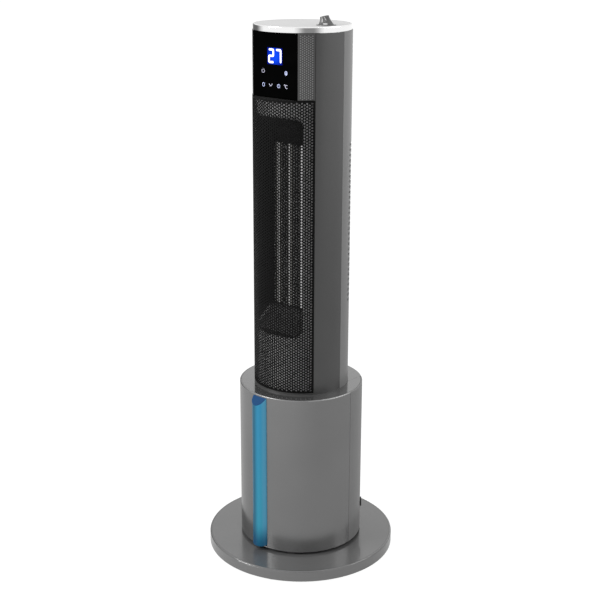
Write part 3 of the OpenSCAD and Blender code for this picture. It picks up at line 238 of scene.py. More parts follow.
# %% Lacquer and moulded greys
flake_grain, mould_grain = 2600.0, 1500.0
tower_lacquer = finish("tower lacquer",
                       grained(grey(0.088), grey(0.108), 0.34, grain=flake_grain, depth=0.00001),
                       Metallic=0.6, Coat_Weight=0.1, Coat_Roughness=0.25)
housing_lacquer = finish("housing lacquer",
                         grained(grey(0.235), grey(0.275), 0.24, grain=flake_grain, depth=0.000006),
                         Metallic=0.85, Coat_Weight=0.1, Coat_Roughness=0.2)
rear_moulding = finish("rear moulding", grained(grey(0.20), grey(0.235), 0.38, grain=mould_grain),
                       Metallic=0.2)
deck_look = grained(grey(0.085), grey(0.105), 0.16, grain=flake_grain, depth=0.000004)
deck_lacquer = finish("deck lacquer", deck_look, Metallic=0.3, Coat_Weight=0.8, Coat_Roughness=0.06)
print("lacquers and mouldings:", len(bpy.data.materials))

# %% The tank's door and the foot
door_side_look = grained(grey(0.20), grey(0.235), 0.42, grain=mould_grain)
deck_line = 0.3030, 0.3036
turned_line_in, turned_line_out = (0.1572, 0.1576), (0.1580, 0.1584)
foot_edge = 0.0192, 0.0206


def door_look(w):
    """The rear's moulded grey below, and the deck's glossy lacquer on the door's own piece of the deck."""
    x, y, z = axes(w, where(w))
    deck = step(w, z, *deck_line)
    side, top = door_side_look(w), deck_look(w)
    return {"Base Color": mixed(w, deck, side["Base Color"], top["Base Color"]),
            "Roughness": (top["Roughness"] - side["Roughness"]) * deck + side["Roughness"],
            "Metallic": deck * 0.3, "Coat Weight": deck * 0.8, "Normal": side["Normal"]}


door_finish = finish("door finish", door_look, Coat_Roughness=0.06)


def foot_look(w):
    """Satin lacquer with a fine turned line near the foot's edge, and lighter on the side below it as a
    painted reflection of the pale floor.
    """
    place = where(w)
    x, y, z = axes(w, place)
    radius = (x * x + y * y) ** 0.5
    slow, fine = noise(w, place, 6.0, 3.0), noise(w, place, flake_grain, 1.0)
    line = step(w, radius, *turned_line_in) * (1 - step(w, radius, *turned_line_out))
    # The side mask carries a painted reflection: the foot's side is painted lighter, as the pale floor
    # would show in it.
    side = 1 - step(w, z, *foot_edge)
    top = mixed(w, step(w, slow * 0.6 + fine * 0.4, 0.3, 0.7), grey(0.135), grey(0.16))
    shade = mixed(w, side, mixed(w, line * 0.6, top, grey(0.03)), grey(0.23))
    return {"Base Color": shade, "Roughness": slow * 0.06 + fine * 0.05 + 0.17,
            "Normal": bumped(w, fine, 0.000006, 0.5)}


foot_lacquer = finish("foot lacquer", foot_look, Metallic=0.3, Coat_Weight=0.5, Coat_Roughness=0.08)
print("shell finishes made:", len(bpy.data.materials))

# %% [markdown]
# ## The bright cap and the display
#
# The cap is a bright metallic disc: matt and pale on top, and polished round its rim, where it mirrors
# the studio. The display is black glass. Behind its window a lamp lights the digits' field blue, up to a
# line a little below the window's top.

# %% Cap and collar
cap_top, cap_edge = (0.9016, 0.9023), (0.0765, 0.0775)


def cap_look(w):
    """Pale satin on the flat top, polished with fine turned strokes round the rim."""
    place = where(w)
    x, y, z = axes(w, place)
    radius = (x * x + y * y) ** 0.5
    flat = step(w, z, *cap_top) * (1 - step(w, radius, *cap_edge))
    strokes = noise(w, place, 30.0, 3.0, (1.0, 1.0, 60.0))
    cloud = noise(w, place, 9.0, 2.0)
    rim = mixed(w, strokes, grey(0.84), grey(0.90))
    top = mixed(w, cloud, grey(0.60), grey(0.68))
    return {"Base Color": mixed(w, flat, rim, top), "Roughness": flat * 0.40 + strokes * 0.05 + 0.07,
            "Metallic": 1 - flat * 0.55, "Normal": bumped(w, strokes, 0.00001, 0.4)}


cap_metal = finish("cap metal", cap_look)
# The collar's darker grey is painted shade, for the dark ring at the nozzle's foot.
shade_darkened_collar = finish("collar metal", brushed(grey(0.22), grey(0.30), 0.32, (1.0, 1.0, 20.0)), Metallic=0.6)
print("finishes so far:", len(bpy.data.materials))

# %% Display glass and its lit window
field_z, lit_end = 0.856, (0.8682, 0.8687)


def glass_look(w):
    """Black glass with the faintest dust and handling marks in its gloss."""
    place = where(w)
    marks = step(w, noise(w, place, 45.0, 5.0), 0.45, 0.8)
    return {"Base Color": mixed(w, marks, grey(0.0004), grey(0.0012)), "Roughness": marks * 0.10 + 0.05}


def window_look(w):
    """Blue light, strongest in the middle of the field: it fades to the field's edges and ends below the
    window's top."""
    x, y, z = axes(w, where(w))
    away = ((x * x) + (z - field_z) * (z - field_z)) ** 0.5
    glow, lit = 1 - step(w, away, 0.004, 0.019), 1 - step(w, z, *lit_end)
    blue = mixed(w, glow, (0.001, 0.010, 0.32, 1), (0.004, 0.050, 0.82, 1))
    return {"Base Color": mixed(w, lit * glow, grey(0.0006), (0.002, 0.03, 0.2, 1)),
            "Emission Color": mixed(w, lit, grey(0.0), blue)}


display_glass = finish("display glass", glass_look, IOR=1.06, Coat_Weight=0.0)
lit_window = finish("lit window", window_look, Roughness=0.08, IOR=1.06, Emission_Strength=1.0)
print("finishes so far:", len(bpy.data.materials))

# %% [markdown]
# ## The light column
#
# The column is a bar of clear blue plastic with a strip of lamps behind it. A glass shader with a lamp
# inside would need many rays to show that soft even light. Instead the bar glows by itself in its own
# colour, and the colour drifts: teal low down, darker at the left side and at the foot as painted shade,
# paler at the right side as painted light, and darkest in the slanted lens that closes its top.

# %% Column finish
housing_radius, lens_slope, lens_line = 0.105, 0.869, (0.3002, 0.3009)
# The foot and left fades mask painted shade, and the right fade masks painted light. The pale blue is
# painted light, and the deep and foot blues are painted shade.
foot_shade_fade, left_shade_fade, right_light_fade, teal_z = (0.032, 0.075), (-0.003, 0.007), (0.009, 0.0138), 0.16
clear_blue, teal_blue = (0.036, 0.257, 0.44, 1), (0.040, 0.280, 0.41, 1)
painted_light_blue, painted_shade_blue = (0.085, 0.32, 0.49, 1), (0.018, 0.105, 0.170, 1)
lens_blue, foot_shade_blue = (0.004, 0.050, 0.15, 1), (0.003, 0.045, 0.12, 1)


def column_look(w):
    """The lens is where the height, less the slope times the way back from the housing's front, reaches
    the top. The teal grows with the way down and to the right."""
    place = where(w)
    x, y, z = axes(w, place)
    top = step(w, z - (y + housing_radius) * lens_slope, *lens_line)
    teal = step(w, x * 6.0 - (z - teal_z) * 1.2, -0.1, 0.16)
    # Painted shade at the foot and the left side, and painted light on the right side.
    low, left, right = 1 - step(w, z, *foot_shade_fade), 1 - step(w, x, *left_shade_fade), step(w, x, *right_light_fade)
    streak = noise(w, place, 20.0, 2.0, (6.0, 6.0, 0.6))
    body = mixed(w, right, mixed(w, teal, clear_blue, teal_blue), painted_light_blue)
    shade = mixed(w, top, mixed(w, left, body, painted_shade_blue), lens_blue)
    shade = mixed(w, low * 0.8, shade, foot_shade_blue)
    return {"Base Color": shade, "Emission Color": shade, "Roughness": streak * 0.1 + 0.18}


blue_column = finish("blue column", column_look, Emission_Strength=0.3, Specular_IOR_Level=0.2)
print("finishes so far:", len(bpy.data.materials))

# %% [markdown]
# ## Dark outlet parts
#
# Behind the grille a black funnel opens from the heating core. Its flange lies right behind the grille's
# sheet and is painted a light grey, as painted light where the lamps fall on it through the holes, which is
# what shows through the holes at the edges. The funnel's inside is black so that the core stands out in its
# depth. Its floor is painted lighter as painted light from above, and the crease at its left carries a
# painted highlight. Flange, inside and floor could be three pieces with three finishes, but they are one
# moulding, so one finish tells them apart by their place.

# %% Funnel and ceramic bars
flange_edge, mouth_top, flange_top = (0.0728, 0.0738), (0.7575, 0.7595), (0.7878, 0.7882)
floor_top, crease_end = (0.436, 0.4425), (-0.040, -0.036)
bar_pitch = 0.025


def funnel_look(w):
    """Black inside, and a painted light grey on the flange and on a band above the mouth, told apart by the
    distance from the tower's axis and by the height. The floor of the funnel is painted a little lighter as
    painted light from above, and the crease at its left carries a painted highlight: there the height falls
    by 2.58 for each length to the left."""
    place = where(w)
    x, y, z = axes(w, place)
    radius = (x * x + y * y) ** 0.5
    # The flange mask carries painted light: the light grey where the lamps fall on the flange and on the
    # band through the holes.
    flange = (step(w, radius, *flange_edge) + step(w, z, *mouth_top)).maths("MINIMUM", 1.0)
    flange = flange * (1 - step(w, z, *flange_top))
    # The lighter floor is painted light from above, and the crease's pale grey is a painted highlight.
    floor = 1 - step(w, z, *floor_top)
    off_crease = (z - x * 2.58 - 0.5341).maths("ABSOLUTE")
    crease = (1 - step(w, off_crease, 0.003, 0.007)) * floor * (1 - step(w, x, *crease_end))
    fine = noise(w, place, 1400.0, 1.0)
    inside = mixed(w, floor, mixed(w, fine, grey(0.010), grey(0.016)), grey(0.10))
    inside = mixed(w, crease, inside, grey(0.75))
    return {"Base Color": mixed(w, flange, inside, mixed(w, fine, grey(0.72), grey(0.8))),
            "Roughness": fine * 0.1 + 0.45, "Normal": bumped(w, fine, 0.00003, 0.5)}


def bar_look(w):
    """Ceramic with a painted glow, palest along its middle line, though a ceramic heater gives no light of
    its own. The three bars stand a pitch apart about the middle, so the line is where the rest of x by the
    pitch is half the pitch."""
    place = where(w)
    x, y, z = axes(w, place)
    off_line = (x + bar_pitch * 1.5).maths("MODULO", bar_pitch) - bar_pitch / 2
    line = 1 - step(w, off_line.maths("ABSOLUTE"), 0.0012, 0.0026)
    fine = noise(w, place, 1200.0, 1.0)
    plain = mixed(w, fine, (0.16, 0.155, 0.14, 1), (0.20, 0.195, 0.18, 1))
    shade = mixed(w, line, plain, grey(0.95))
    return {"Base Color": shade, "Emission Color": shade, "Roughness": fine * 0.1 + 0.3}


# %% Grille, trim and core finishes
grille_paint = finish("grille paint", grained(grey(0.004), grey(0.007), 0.5, grain=3000.0, depth=0.000008),
                      Specular_IOR_Level=0.08)
funnel_black = finish("funnel black", funnel_look)
trim_paint = finish("trim paint", grained(grey(0.075), grey(0.10), 0.45, grain=2500.0, depth=0.00001),
                    Metallic=0.2)
# The backing's light grey is painted light on the dimples' floors.
dimple_painted_light = finish("trim backing", grained(grey(0.34), grey(0.42), 0.5, grain=2500.0, depth=0.00001))
fin_alloy = finish("fin alloy", brushed(grey(0.30), grey(0.42), 0.38, (1.0, 1.0, 30.0)), Metallic=1.0)
# The ceramic's emission is painted light.
ceramic = finish("ceramic", bar_look, Emission_Strength=0.22)
print("finishes so far:", len(bpy.data.materials))

# %% [markdown]
# ## What is inside and underneath
#
# The chassis, boards, motors and screws show when the heater is opened or seen from below, so they get
# honest workshop finishes too: moulded nylon, coated board with copper tracks, turned brass, zinc-plated
# steel, cast iron, rubber and the clear plastic of the water tank. Most of them are one of the two looks
# above with other numbers, and only the boards and the tank need a look of their own.

# %% Boards and the clear tank
def board_look(w):
    """Green lacquer over copper: tracks come from a stretched grid of cells, and stand up a hair."""
    place = where(w)
    cells = w.node("ShaderNodeTexVoronoi", {"feature": "DISTANCE_TO_EDGE", "distance": "CHEBYCHEV"},
                   {"Vector": place, "Scale": 160.0, "Randomness": 0.8})
    track = 1 - step(w, cells, 0.04, 0.08)
    return {"Base Color": mixed(w, track, (0.012, 0.085, 0.035, 1), (0.05, 0.19, 0.08, 1)),
            "Roughness": track * 0.1 + 0.3, "Normal": bumped(w, track, 0.00004, 0.4)}


def clear_look(w):
    """Clear moulding with faint flow lines."""
    flow = noise(w, where(w), 12.0, 3.0, (1.0, 1.0, 3.0))
    return {"Base Color": mixed(w, flow, (0.72, 0.84, 0.90, 1), (0.86, 0.94, 0.97, 1)),
            "Roughness": flow * 0.12 + 0.06, "Normal": bumped(w, flow, 0.0002, 0.2)}


# %% Workshop finishes
workshop = {
    "inner_black": finish("inner black", grained(grey(0.012), grey(0.02), 0.5)),
    "chassis_grey": finish("chassis grey", grained(grey(0.045), grey(0.06), 0.5)),
    "board_green": finish("board green", board_look),
    "part_white": finish("part white", grained(grey(0.66, 0.02), grey(0.74, 0.02), 0.4)),
    "brass": finish("turned brass", brushed((0.55, 0.36, 0.11, 1), (0.72, 0.52, 0.2, 1), 0.28,
                                            (1.0, 1.0, 20.0)), Metallic=1.0),
    "steel": finish("plated steel", brushed(grey(0.50), grey(0.64), 0.30, (1.0, 1.0, 12.0)), Metallic=1.0),
    "weight_iron": finish("weight iron", grained(grey(0.05), grey(0.09), 0.6, grain=500.0, depth=0.0002),
                          Metallic=0.6),
    "rubber": finish("rubber", grained(grey(0.016), grey(0.026), 0.75, grain=1800.0, depth=0.00005)),
    "tank_clear": finish("tank clear", clear_look, Transmission_Weight=0.85, IOR=1.46),
    "nozzle_dark": finish("nozzle dark", grained(grey(0.055), grey(0.075), 0.36, grain=1800.0)),
}
by_slot = dict(workshop, shell_grey=tower_lacquer, shell_rear=rear_moulding, base_grey=foot_lacquer,
               cap_metal=cap_metal, panel_black=display_glass, window_lit=lit_window, trim_grey=trim_paint,
               grille_dark=grille_paint, column_blue=blue_column, fin_alloy=fin_alloy, ceramic=ceramic)
by_node = {"front_housing": housing_lacquer, "rear_housing": rear_moulding, "tank_door": door_finish,
           "housing_deck": deck_lacquer, "outlet_funnel": funnel_black, "nozzle_socket": shade_darkened_collar}
print("slots with a finish:", len(by_slot), "nodes with one of their own:", len(by_node))

# %% Give every part of the frame its finish
for part in frame["record"]["subparts"]:
    node = part["node"]
    slots = frame["nodes"][node].data.materials
    paint = by_node.get(node, by_slot[part["material_slot"]])
    if not slots:
        slots.append(paint)
    for k in range(len(slots)):
        slots[k] = paint

# %% [markdown]
# ## From arrays to a piece
#
# Every new surface below is worked out as whole arrays of points in millimetres and of corners. One
# helper writes them into a mesh, keeps smooth curves smooth and true edges sharp, and lets the piece ride
# on its body.

# %% Put arrays into a mesh
def as_piece(name, points, faces, paint, body, stands_for=(), sharp=35.0):
    """Points are an (n, 3) array in mm, and faces a list of integer arrays, each with faces of one kind."""
    mesh = bpy.data.meshes.new(name)
    corners = [face for group in faces for face in np.asarray(group).tolist()]
    mesh.from_pydata((np.asarray(points) * MM).tolist(), [], corners)
    mesh.validate()
    mesh.polygons.foreach_set("use_smooth", np.ones(len(mesh.polygons), bool))
    mesh.set_sharp_from_angle(angle=np.radians(sharp))
    mesh.materials.append(paint)
    piece = bpy.data.objects.new(name, mesh)
    bpy.context.scene.collection.objects.link(piece)
    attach(piece, body)
    if stands_for:
        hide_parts(*stands_for)
    print(name, "points", len(points), "faces", len(corners))
    return piece


def joined(parts):
    """Several (points, triangles, quads) as one: the corners of each are counted on from the last."""
    counts = np.cumsum([0] + [len(points) for points, _, _ in parts])
    points = np.concatenate([points for points, _, _ in parts])
    threes = np.concatenate([np.reshape(t, (-1, 3)) + n for (_, t, _), n in zip(parts, counts)])
    fours = np.concatenate([np.reshape(q, (-1, 4)) + n for (_, _, q), n in zip(parts, counts)])
    return points, [threes.astype(int), fours.astype(int)]


# %% [markdown]
# ## The pierced grille
#
# The real grille is a thin steel sheet, punched with round holes in staggered rows and then rolled to the
# tower's curve. It could be an array of cut cylinders, but thousands of cuts are slow and break easily. A
# hole can instead be built into a six-sided cell: a ring of triangles between the cell's corners and the
# hole's edge. Such cells tile the flat sheet without gaps. The sheet gets its thickness by walls along
# every open edge, and is bent last.

# %% Triangles round a hole
def ring_between(outer, inner):
    """Triangles between two rings of corners round one centre, walked side by side by angle."""
    made, a, b = [], 0, 0
    while a < outer or b < inner:
        step_outer = (a + 0.5) / outer <= (b + 0.5) / inner if b < inner and a < outer else a < outer
        if step_outer:
            made.append([a % outer, (a + 1) % outer, outer + b % inner])
            a += 1
        else:
            made.append([a % outer, outer + (b + 1) % inner, outer + b % inner])
            b += 1
    return np.array(made)


print("triangles in a cell with a hole:", len(ring_between(6, 8)))

# %% Flat sheet of six-sided cells
def cell_sheet(half, low, high, pitch, hole, border, sides=8):
    """A flat rectangle as six-sided cells, from -half to half and low to high. Cells stand in columns
    pitch * root(3) / 2 apart, and every other column is half a pitch higher. A cell that keeps clear of the
    border has a hole. Corners past the rectangle are pulled back to its edge. Gives points (u, v),
    triangles and the number of holes."""
    column = pitch * np.sqrt(3) / 2
    across = int(np.ceil(half / column)) + 1
    up_rows = int(np.ceil((high - low) / pitch)) + 2
    i, j = np.meshgrid(np.arange(-across, across + 1), np.arange(-1, up_rows), indexing="ij")
    middle = (low + high) / 2 - pitch * up_rows / 2
    centre = np.stack([i * column, middle + j * pitch + (i % 2) * pitch / 2], -1).reshape(-1, 2)
    reach = pitch / np.sqrt(3)
    turn_out = np.radians(60 * np.arange(6))
    turn_in = np.radians(360 * (np.arange(sides) + 0.5) / sides)
    outer = centre[:, None] + reach * np.stack([np.cos(turn_out), np.sin(turn_out)], -1)
    inner = centre[:, None] + hole / 2 * np.stack([np.cos(turn_in), np.sin(turn_in)], -1)
    edge = np.array([[-half, low], [half, high]])
    clear = (outer.min(1) > edge[0] + border) & (outer.max(1) < edge[1] - border)
    has_hole = clear.all(1) & (hole > 0)
    outer = np.clip(outer, edge[0], edge[1])
    count = len(centre)
    points = np.concatenate([outer.reshape(-1, 2), inner.reshape(-1, 2)])
    template = ring_between(6, sides)
    base = np.where(template[None] < 6, 6 * np.arange(count)[:, None, None] + template,
                    6 * count + sides * np.arange(count)[:, None, None] + template - 6)
    whole = 6 * np.arange(count)[:, None, None] + np.array([[0, 1, 2], [0, 2, 3], [0, 3, 4], [0, 4, 5]])
    faces = np.concatenate([base[has_hole].reshape(-1, 3), whole[~has_hole].reshape(-1, 3)])
    _, first, back = np.unique(np.round(points * 1000).astype(np.int64), axis=0, return_index=True,
                               return_inverse=True)
    points, faces = points[first], back.reshape(-1)[faces]
    a, b, c = (points[faces[:, k]] for k in range(3))
    area = (b[:, 0] - a[:, 0]) * (c[:, 1] - a[:, 1]) - (b[:, 1] - a[:, 1]) * (c[:, 0] - a[:, 0])
    faces = faces[area > 1e-4]
    used, faces = np.unique(faces, return_inverse=True)
    return points[used], faces.reshape(-1, 3), int(has_hole.sum())


# %% Give the sheet its thickness and roll it
def thickened(points, faces, near, far):
    """Adds a third length, the depth, and closes the sheet: a front at near, a back at far and a wall along
    every edge that only one triangle uses, which are the outline and the holes."""
    count = len(points)
    sides = np.concatenate([faces[:, [0, 1]], faces[:, [1, 2]], faces[:, [2, 0]]])
    forward = sides[:, 0] * count + sides[:, 1]
    backward = sides[:, 1] * count + sides[:, 0]
    open_sides = sides[~np.isin(forward, backward)]
    start, end = open_sides.T
    walls = np.column_stack([start, start + count, end + count, end])
    solid = np.concatenate([np.column_stack([points, np.full(count, near)]),
                            np.column_stack([points, np.full(count, far)])])
    return solid, np.concatenate([faces, faces[:, ::-1] + count]), walls


def rolled(solid, radius, turn=0.0):
    """Bends a sheet round the tower: the length across becomes an angle, the depth a smaller radius."""
    angle = solid[:, 0] / radius + np.radians(turn)
    r = radius - solid[:, 2]
    return np.column_stack([r * np.sin(angle), -r * np.cos(angle), solid[:, 1]])


# %% The grille
tower_r, hole_pitch, hole_d, sheet_t, sheet_border = 80.0, 4.7, 3.25, 0.9, 1.0
grille_turn, grille_low, grille_high = 55.65, 307.9, 790.7
grille_half = np.radians(grille_turn) * tower_r
flat, cells, holes = cell_sheet(grille_half, grille_low, grille_high, hole_pitch, hole_d, sheet_border)
sheet, sheet_faces, sheet_walls = thickened(flat, cells, 0.0, sheet_t)
as_piece("grille_sheet", rolled(sheet, tower_r), [sheet_faces, sheet_walls], grille_paint,
         "body", ["front_grille"], sharp=50.0)
print("holes in the grille:", holes)

# %% [markdown]
# ## The dimpled fields
#
# Beside the display the shell carries the grille's pattern on, but closed and finer: holes in a thin dark
# sheet with a lighter layer right behind them. That layer's light grey is painted light, standing for the
# dimples' floors where the light falls on them. The same functions make it, once with holes and once
# without.

# %% Two dimpled fields
field_r, field_low, field_high, glass_half = 79.3, 791.6, 892.8, 46.6
dimple_pitch, dimple_d, dimple_depth, backing_depth = 3.6, 2.3, 0.5, 2.3


def field(side, hole, near, far):
    """One layer of a field between two depths, with or without holes, rolled to the tower's curve. It
    reaches from the glass's edge to the grille's last angle."""
    start, end = np.degrees(np.arcsin(glass_half / field_r)), grille_turn
    half = np.radians(end - start) / 2 * field_r
    face, threes, _ = cell_sheet(half, field_low, field_high, dimple_pitch, hole, 0.2)
    solid, threes, fours = thickened(face, threes, near, far)
    return rolled(solid, field_r, side * (start + end) / 2), threes, fours


points, groups = joined([field(side, dimple_d, 0.0, dimple_depth) for side in (-1, 1)])
as_piece("dimpled_fields", points, groups, trim_paint, "body", ["display_trims"], sharp=50.0)
# The backing layer is painted light in the dimples.
points, groups = joined([field(side, 0.0, dimple_depth, backing_depth) for side in (-1, 1)])
as_piece("painted_light_backing", points, groups, dimple_painted_light, "body", sharp=50.0)

# %% [markdown]
# ## Digits and touch symbols
#
# The window shows two seven-bar digits, and under it are printed symbols that light up. They could be
# painted by a shader, but a mesh keeps them sharp from near. Each bar or line is a flat ribbon along a
# path, a fifth of a millimetre thick and sunk by half of that, so it is a closed piece.

# %% Ribbons on the flat display
panel_y = float(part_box("display_panel")[0].y) / MM
near, far = panel_y - 0.1, panel_y + 0.1
print("display face at y, mm:", round(panel_y, 2))


def ribbon(path, width, closed=False):
    """A flat band along a path in X and Z, from near to far: each point is moved half the width to both
    sides, square to the path's direction there, and the four-cornered section goes from point to point."""
    path = np.asarray(path, float)
    if closed:
        way = np.roll(path, -1, 0) - np.roll(path, 1, 0)
    else:
        way = np.gradient(path, axis=0)
    way /= np.linalg.norm(way, axis=1)[:, None]
    side = np.column_stack([-way[:, 1], way[:, 0]]) * (np.reshape(width, (-1, 1)) / 2)
    left, right = path + side, path - side
    section = np.stack([np.insert(left, 1, near, 1), np.insert(right, 1, near, 1),
                        np.insert(right, 1, far, 1), np.insert(left, 1, far, 1)], 1)
    count = len(path)
    here = np.arange(count if closed else count - 1)[:, None]
    corner = np.arange(4)[None]
    after = (here + 1) % count
    quads = np.stack([here * 4 + corner, after * 4 + corner, after * 4 + (corner + 1) % 4,
                      here * 4 + (corner + 1) % 4], -1).reshape(-1, 4)
    if not closed:
        last = 4 * (count - 1)
        quads = np.concatenate([quads, [[0, 1, 2, 3], [last + 3, last + 2, last + 1, last]]])
    return section.reshape(-1, 3), np.zeros((0, 3), int), quads


# %% Bars, arcs and drops
def bar(start, end, width):
    """One lit bar of a digit: a ribbon that narrows to rounded ends."""
    start, end = np.array(start, float), np.array(end, float)
    t = np.array([0.0, 0.03, 0.09, 0.2, 0.8, 0.91, 0.97, 1.0])[:, None]
    wide = width * np.array([0.35, 0.68, 0.92, 1.0, 1.0, 0.92, 0.68, 0.35])
    return ribbon(start + (end - start) * t, wide)


def arc(x, z, radius, start, end, count=28):
    """Points on a circle, angles in degrees from +X towards +Z."""
    turn = np.radians(np.linspace(start, end, count, endpoint=abs(end - start) < 360))
    return np.column_stack([x + radius * np.cos(turn), z + radius * np.sin(turn)])


def drop(x, z, size):
    """The outline of a drop: a circle whose top is drawn out to a point."""
    t = np.radians(np.arange(0, 360, 12.0))
    narrow = np.where(np.cos(t) > 0, 1 - 0.55 * np.cos(t) ** 2, 1.0)
    return np.column_stack([x + size * np.sin(t) * narrow, z + size * (np.cos(t) * 1.25 - 0.1)])


# %% The digits of the temperature
def digit(bars, x, z, wide=8.9, high=19.2, stroke=3.2):
    """The chosen bars of a seven-bar digit whose lower left corner is at x, z."""
    nodes = np.array([[0, high], [wide, high], [wide, high / 2], [wide, 0], [0, 0], [0, high / 2]])
    nodes = nodes + np.array([x, z])
    ends = {"a": (0, 1), "b": (1, 2), "c": (2, 3), "d": (4, 3), "e": (5, 4), "f": (0, 5), "g": (5, 2)}
    made = []
    for name in bars:
        start, end = nodes[ends[name][0]], nodes[ends[name][1]]
        along = (end - start) / np.linalg.norm(end - start)
        made.append(bar(start - along * 0.4, end + along * 0.4, stroke))
    return made


def mark_light(name, dim, bright, power, scale):
    """The light of a digit or symbol, drifting a little between two tones."""
    return finish(name, lambda w: {"Emission Color": mixed(w, noise(w, where(w), scale), dim, bright)},
                  Emission_Strength=power, Roughness=0.4)


digit_z, first_x, second_x = 846.3, -11.9, 3.4
white_light = mark_light("white light", (0.86, 0.90, 1.0, 1), (1, 1, 1, 1), 1.0, 300.0)
points, groups = joined(digit("abged", first_x, digit_z) + digit("abc", second_x, digit_z))
as_piece("digits", points, groups, white_light, "body")

# %% The touch symbols
upper, lower = 831.7, 810.8
pale = [ribbon(arc(-24.4, upper, 2.7, 125, 415), 0.6),  # mains: an open ring and its stroke
        ribbon([[-24.4, upper + 1.4], [-24.4, upper + 3.6]], 0.5),
        ribbon([[-12.2, lower + 1.9], [-8.7, lower - 1.9], [-5.2, lower + 1.9]], 0.8),  # less
        ribbon(arc(20.6, lower + 2.0, 1.0, 0, 360, 16), 0.5, True),  # degrees and their C
        ribbon(arc(24.6, lower - 0.3, 2.5, 50, 310), 0.7)]
blue = [ribbon(drop(23.4, upper, 2.4), 0.9, True),  # mist: a drop in a drop
        ribbon(drop(23.4, upper - 0.5, 1.0), 0.8, True),
        ribbon(drop(-23.8, lower, 2.4), 0.7, True),  # heat
        ribbon(arc(7.9, lower - 0.3, 2.7, 0, 360), 0.7, True),  # timer: a ring and two hands
        ribbon([[7.9, lower + 1.6], [7.9, lower - 0.3], [9.0, lower - 1.1]], 0.5)]
pale_light = mark_light("pale light", (0.15, 0.14, 0.32, 1), (0.33, 0.31, 0.58, 1), 0.9, 260.0)
blue_light = mark_light("blue light", (0.06, 0.12, 0.48, 1), (0.14, 0.26, 0.78, 1), 0.9, 260.0)
for name, marks, light in (("touch_symbols", pale, pale_light), ("blue_symbols", blue, blue_light)):
    points, groups = joined(marks)
    as_piece(name, points, groups, light, "body")

# %% [markdown]
# ## The fins of the heating core
#
# Each fin pack is one long aluminium strip, folded back and forth between the ceramic bars. Hundreds of
# separate plates would be heavy, and would gape where the real strip turns. So a wave is carried along the
# core's height and swept through its depth, and a Solidify modifier gives it the strip's thickness.

# %% Folded fins
def folded_strip(left, right, low, high, front, back, fold=2.6, samples=8):
    """A wave between left and right: the fold is a sine flattened by a hyperbolic tangent, so that its
    turns are tight, and its points are swept from front to back."""
    count = int((high - low) / fold) * samples
    z = np.linspace(low, high, count)
    swing = np.tanh(2.2 * np.sin(2 * np.pi * (z - low) / fold)) / np.tanh(2.2)
    x = (left + right) / 2 + swing * (right - left) / 2
    y = np.array([front, (front + back) / 2, back])
    grid = np.stack([np.broadcast_to(x[:, None], (count, 3)), np.broadcast_to(y, (count, 3)),
                     np.broadcast_to(z[:, None], (count, 3))], -1)
    i, k = np.meshgrid(np.arange(count - 1), np.arange(2), indexing="ij")
    quads = np.stack([i * 3 + k, i * 3 + k + 1, (i + 1) * 3 + k + 1, (i + 1) * 3 + k], -1).reshape(-1, 4)
    return grid.reshape(-1, 3), np.zeros((0, 3), int), quads


packs = [(-35.0, -29.6), (-20.5, -4.5), (4.5, 20.5), (29.6, 35.0)]
core_low, core_high, core_front, core_back = 443.0, 714.0, -29.3, -14.8
points, groups = joined([folded_strip(a, b, core_low, core_high, core_front, core_back) for a, b in packs])
fins = as_piece("folded_fins", points, groups, fin_alloy, "body", ["heater_fins"], sharp=80.0)
strip = fins.modifiers.new("strip thickness", "SOLIDIFY")
strip.thickness = 0.25 * MM
strip.offset = 0.0

# %% [markdown]
# ## The mist nozzle
#
# The nozzle is a small moulded cone that leans back and flares out to its foot. Its skin has fine upright
# ribs, two slots let the mist out, and a notch at its foot is where a finger turns it. Cutting all that
# into a cone would leave ragged edges, so it is one surface: the radius is a function of the angle and of
# the height, and the ribs, the slots and the notch are taken off in that function.

# %% A ribbed, leaning cone
nozzle_centre = np.array([56.3, -8.92])
nozzle_low, nozzle_tall, nozzle_slant = 904.0, 13.5, 2.8
lean = 3.4 * np.array([-np.sin(np.radians(60)), -np.cos(np.radians(60))])


def bell(value, width):
    """1 in the middle and 0 outside, with soft shoulders."""
    return 1 / (1 + np.exp((np.abs(value) / width - 1) * 9))


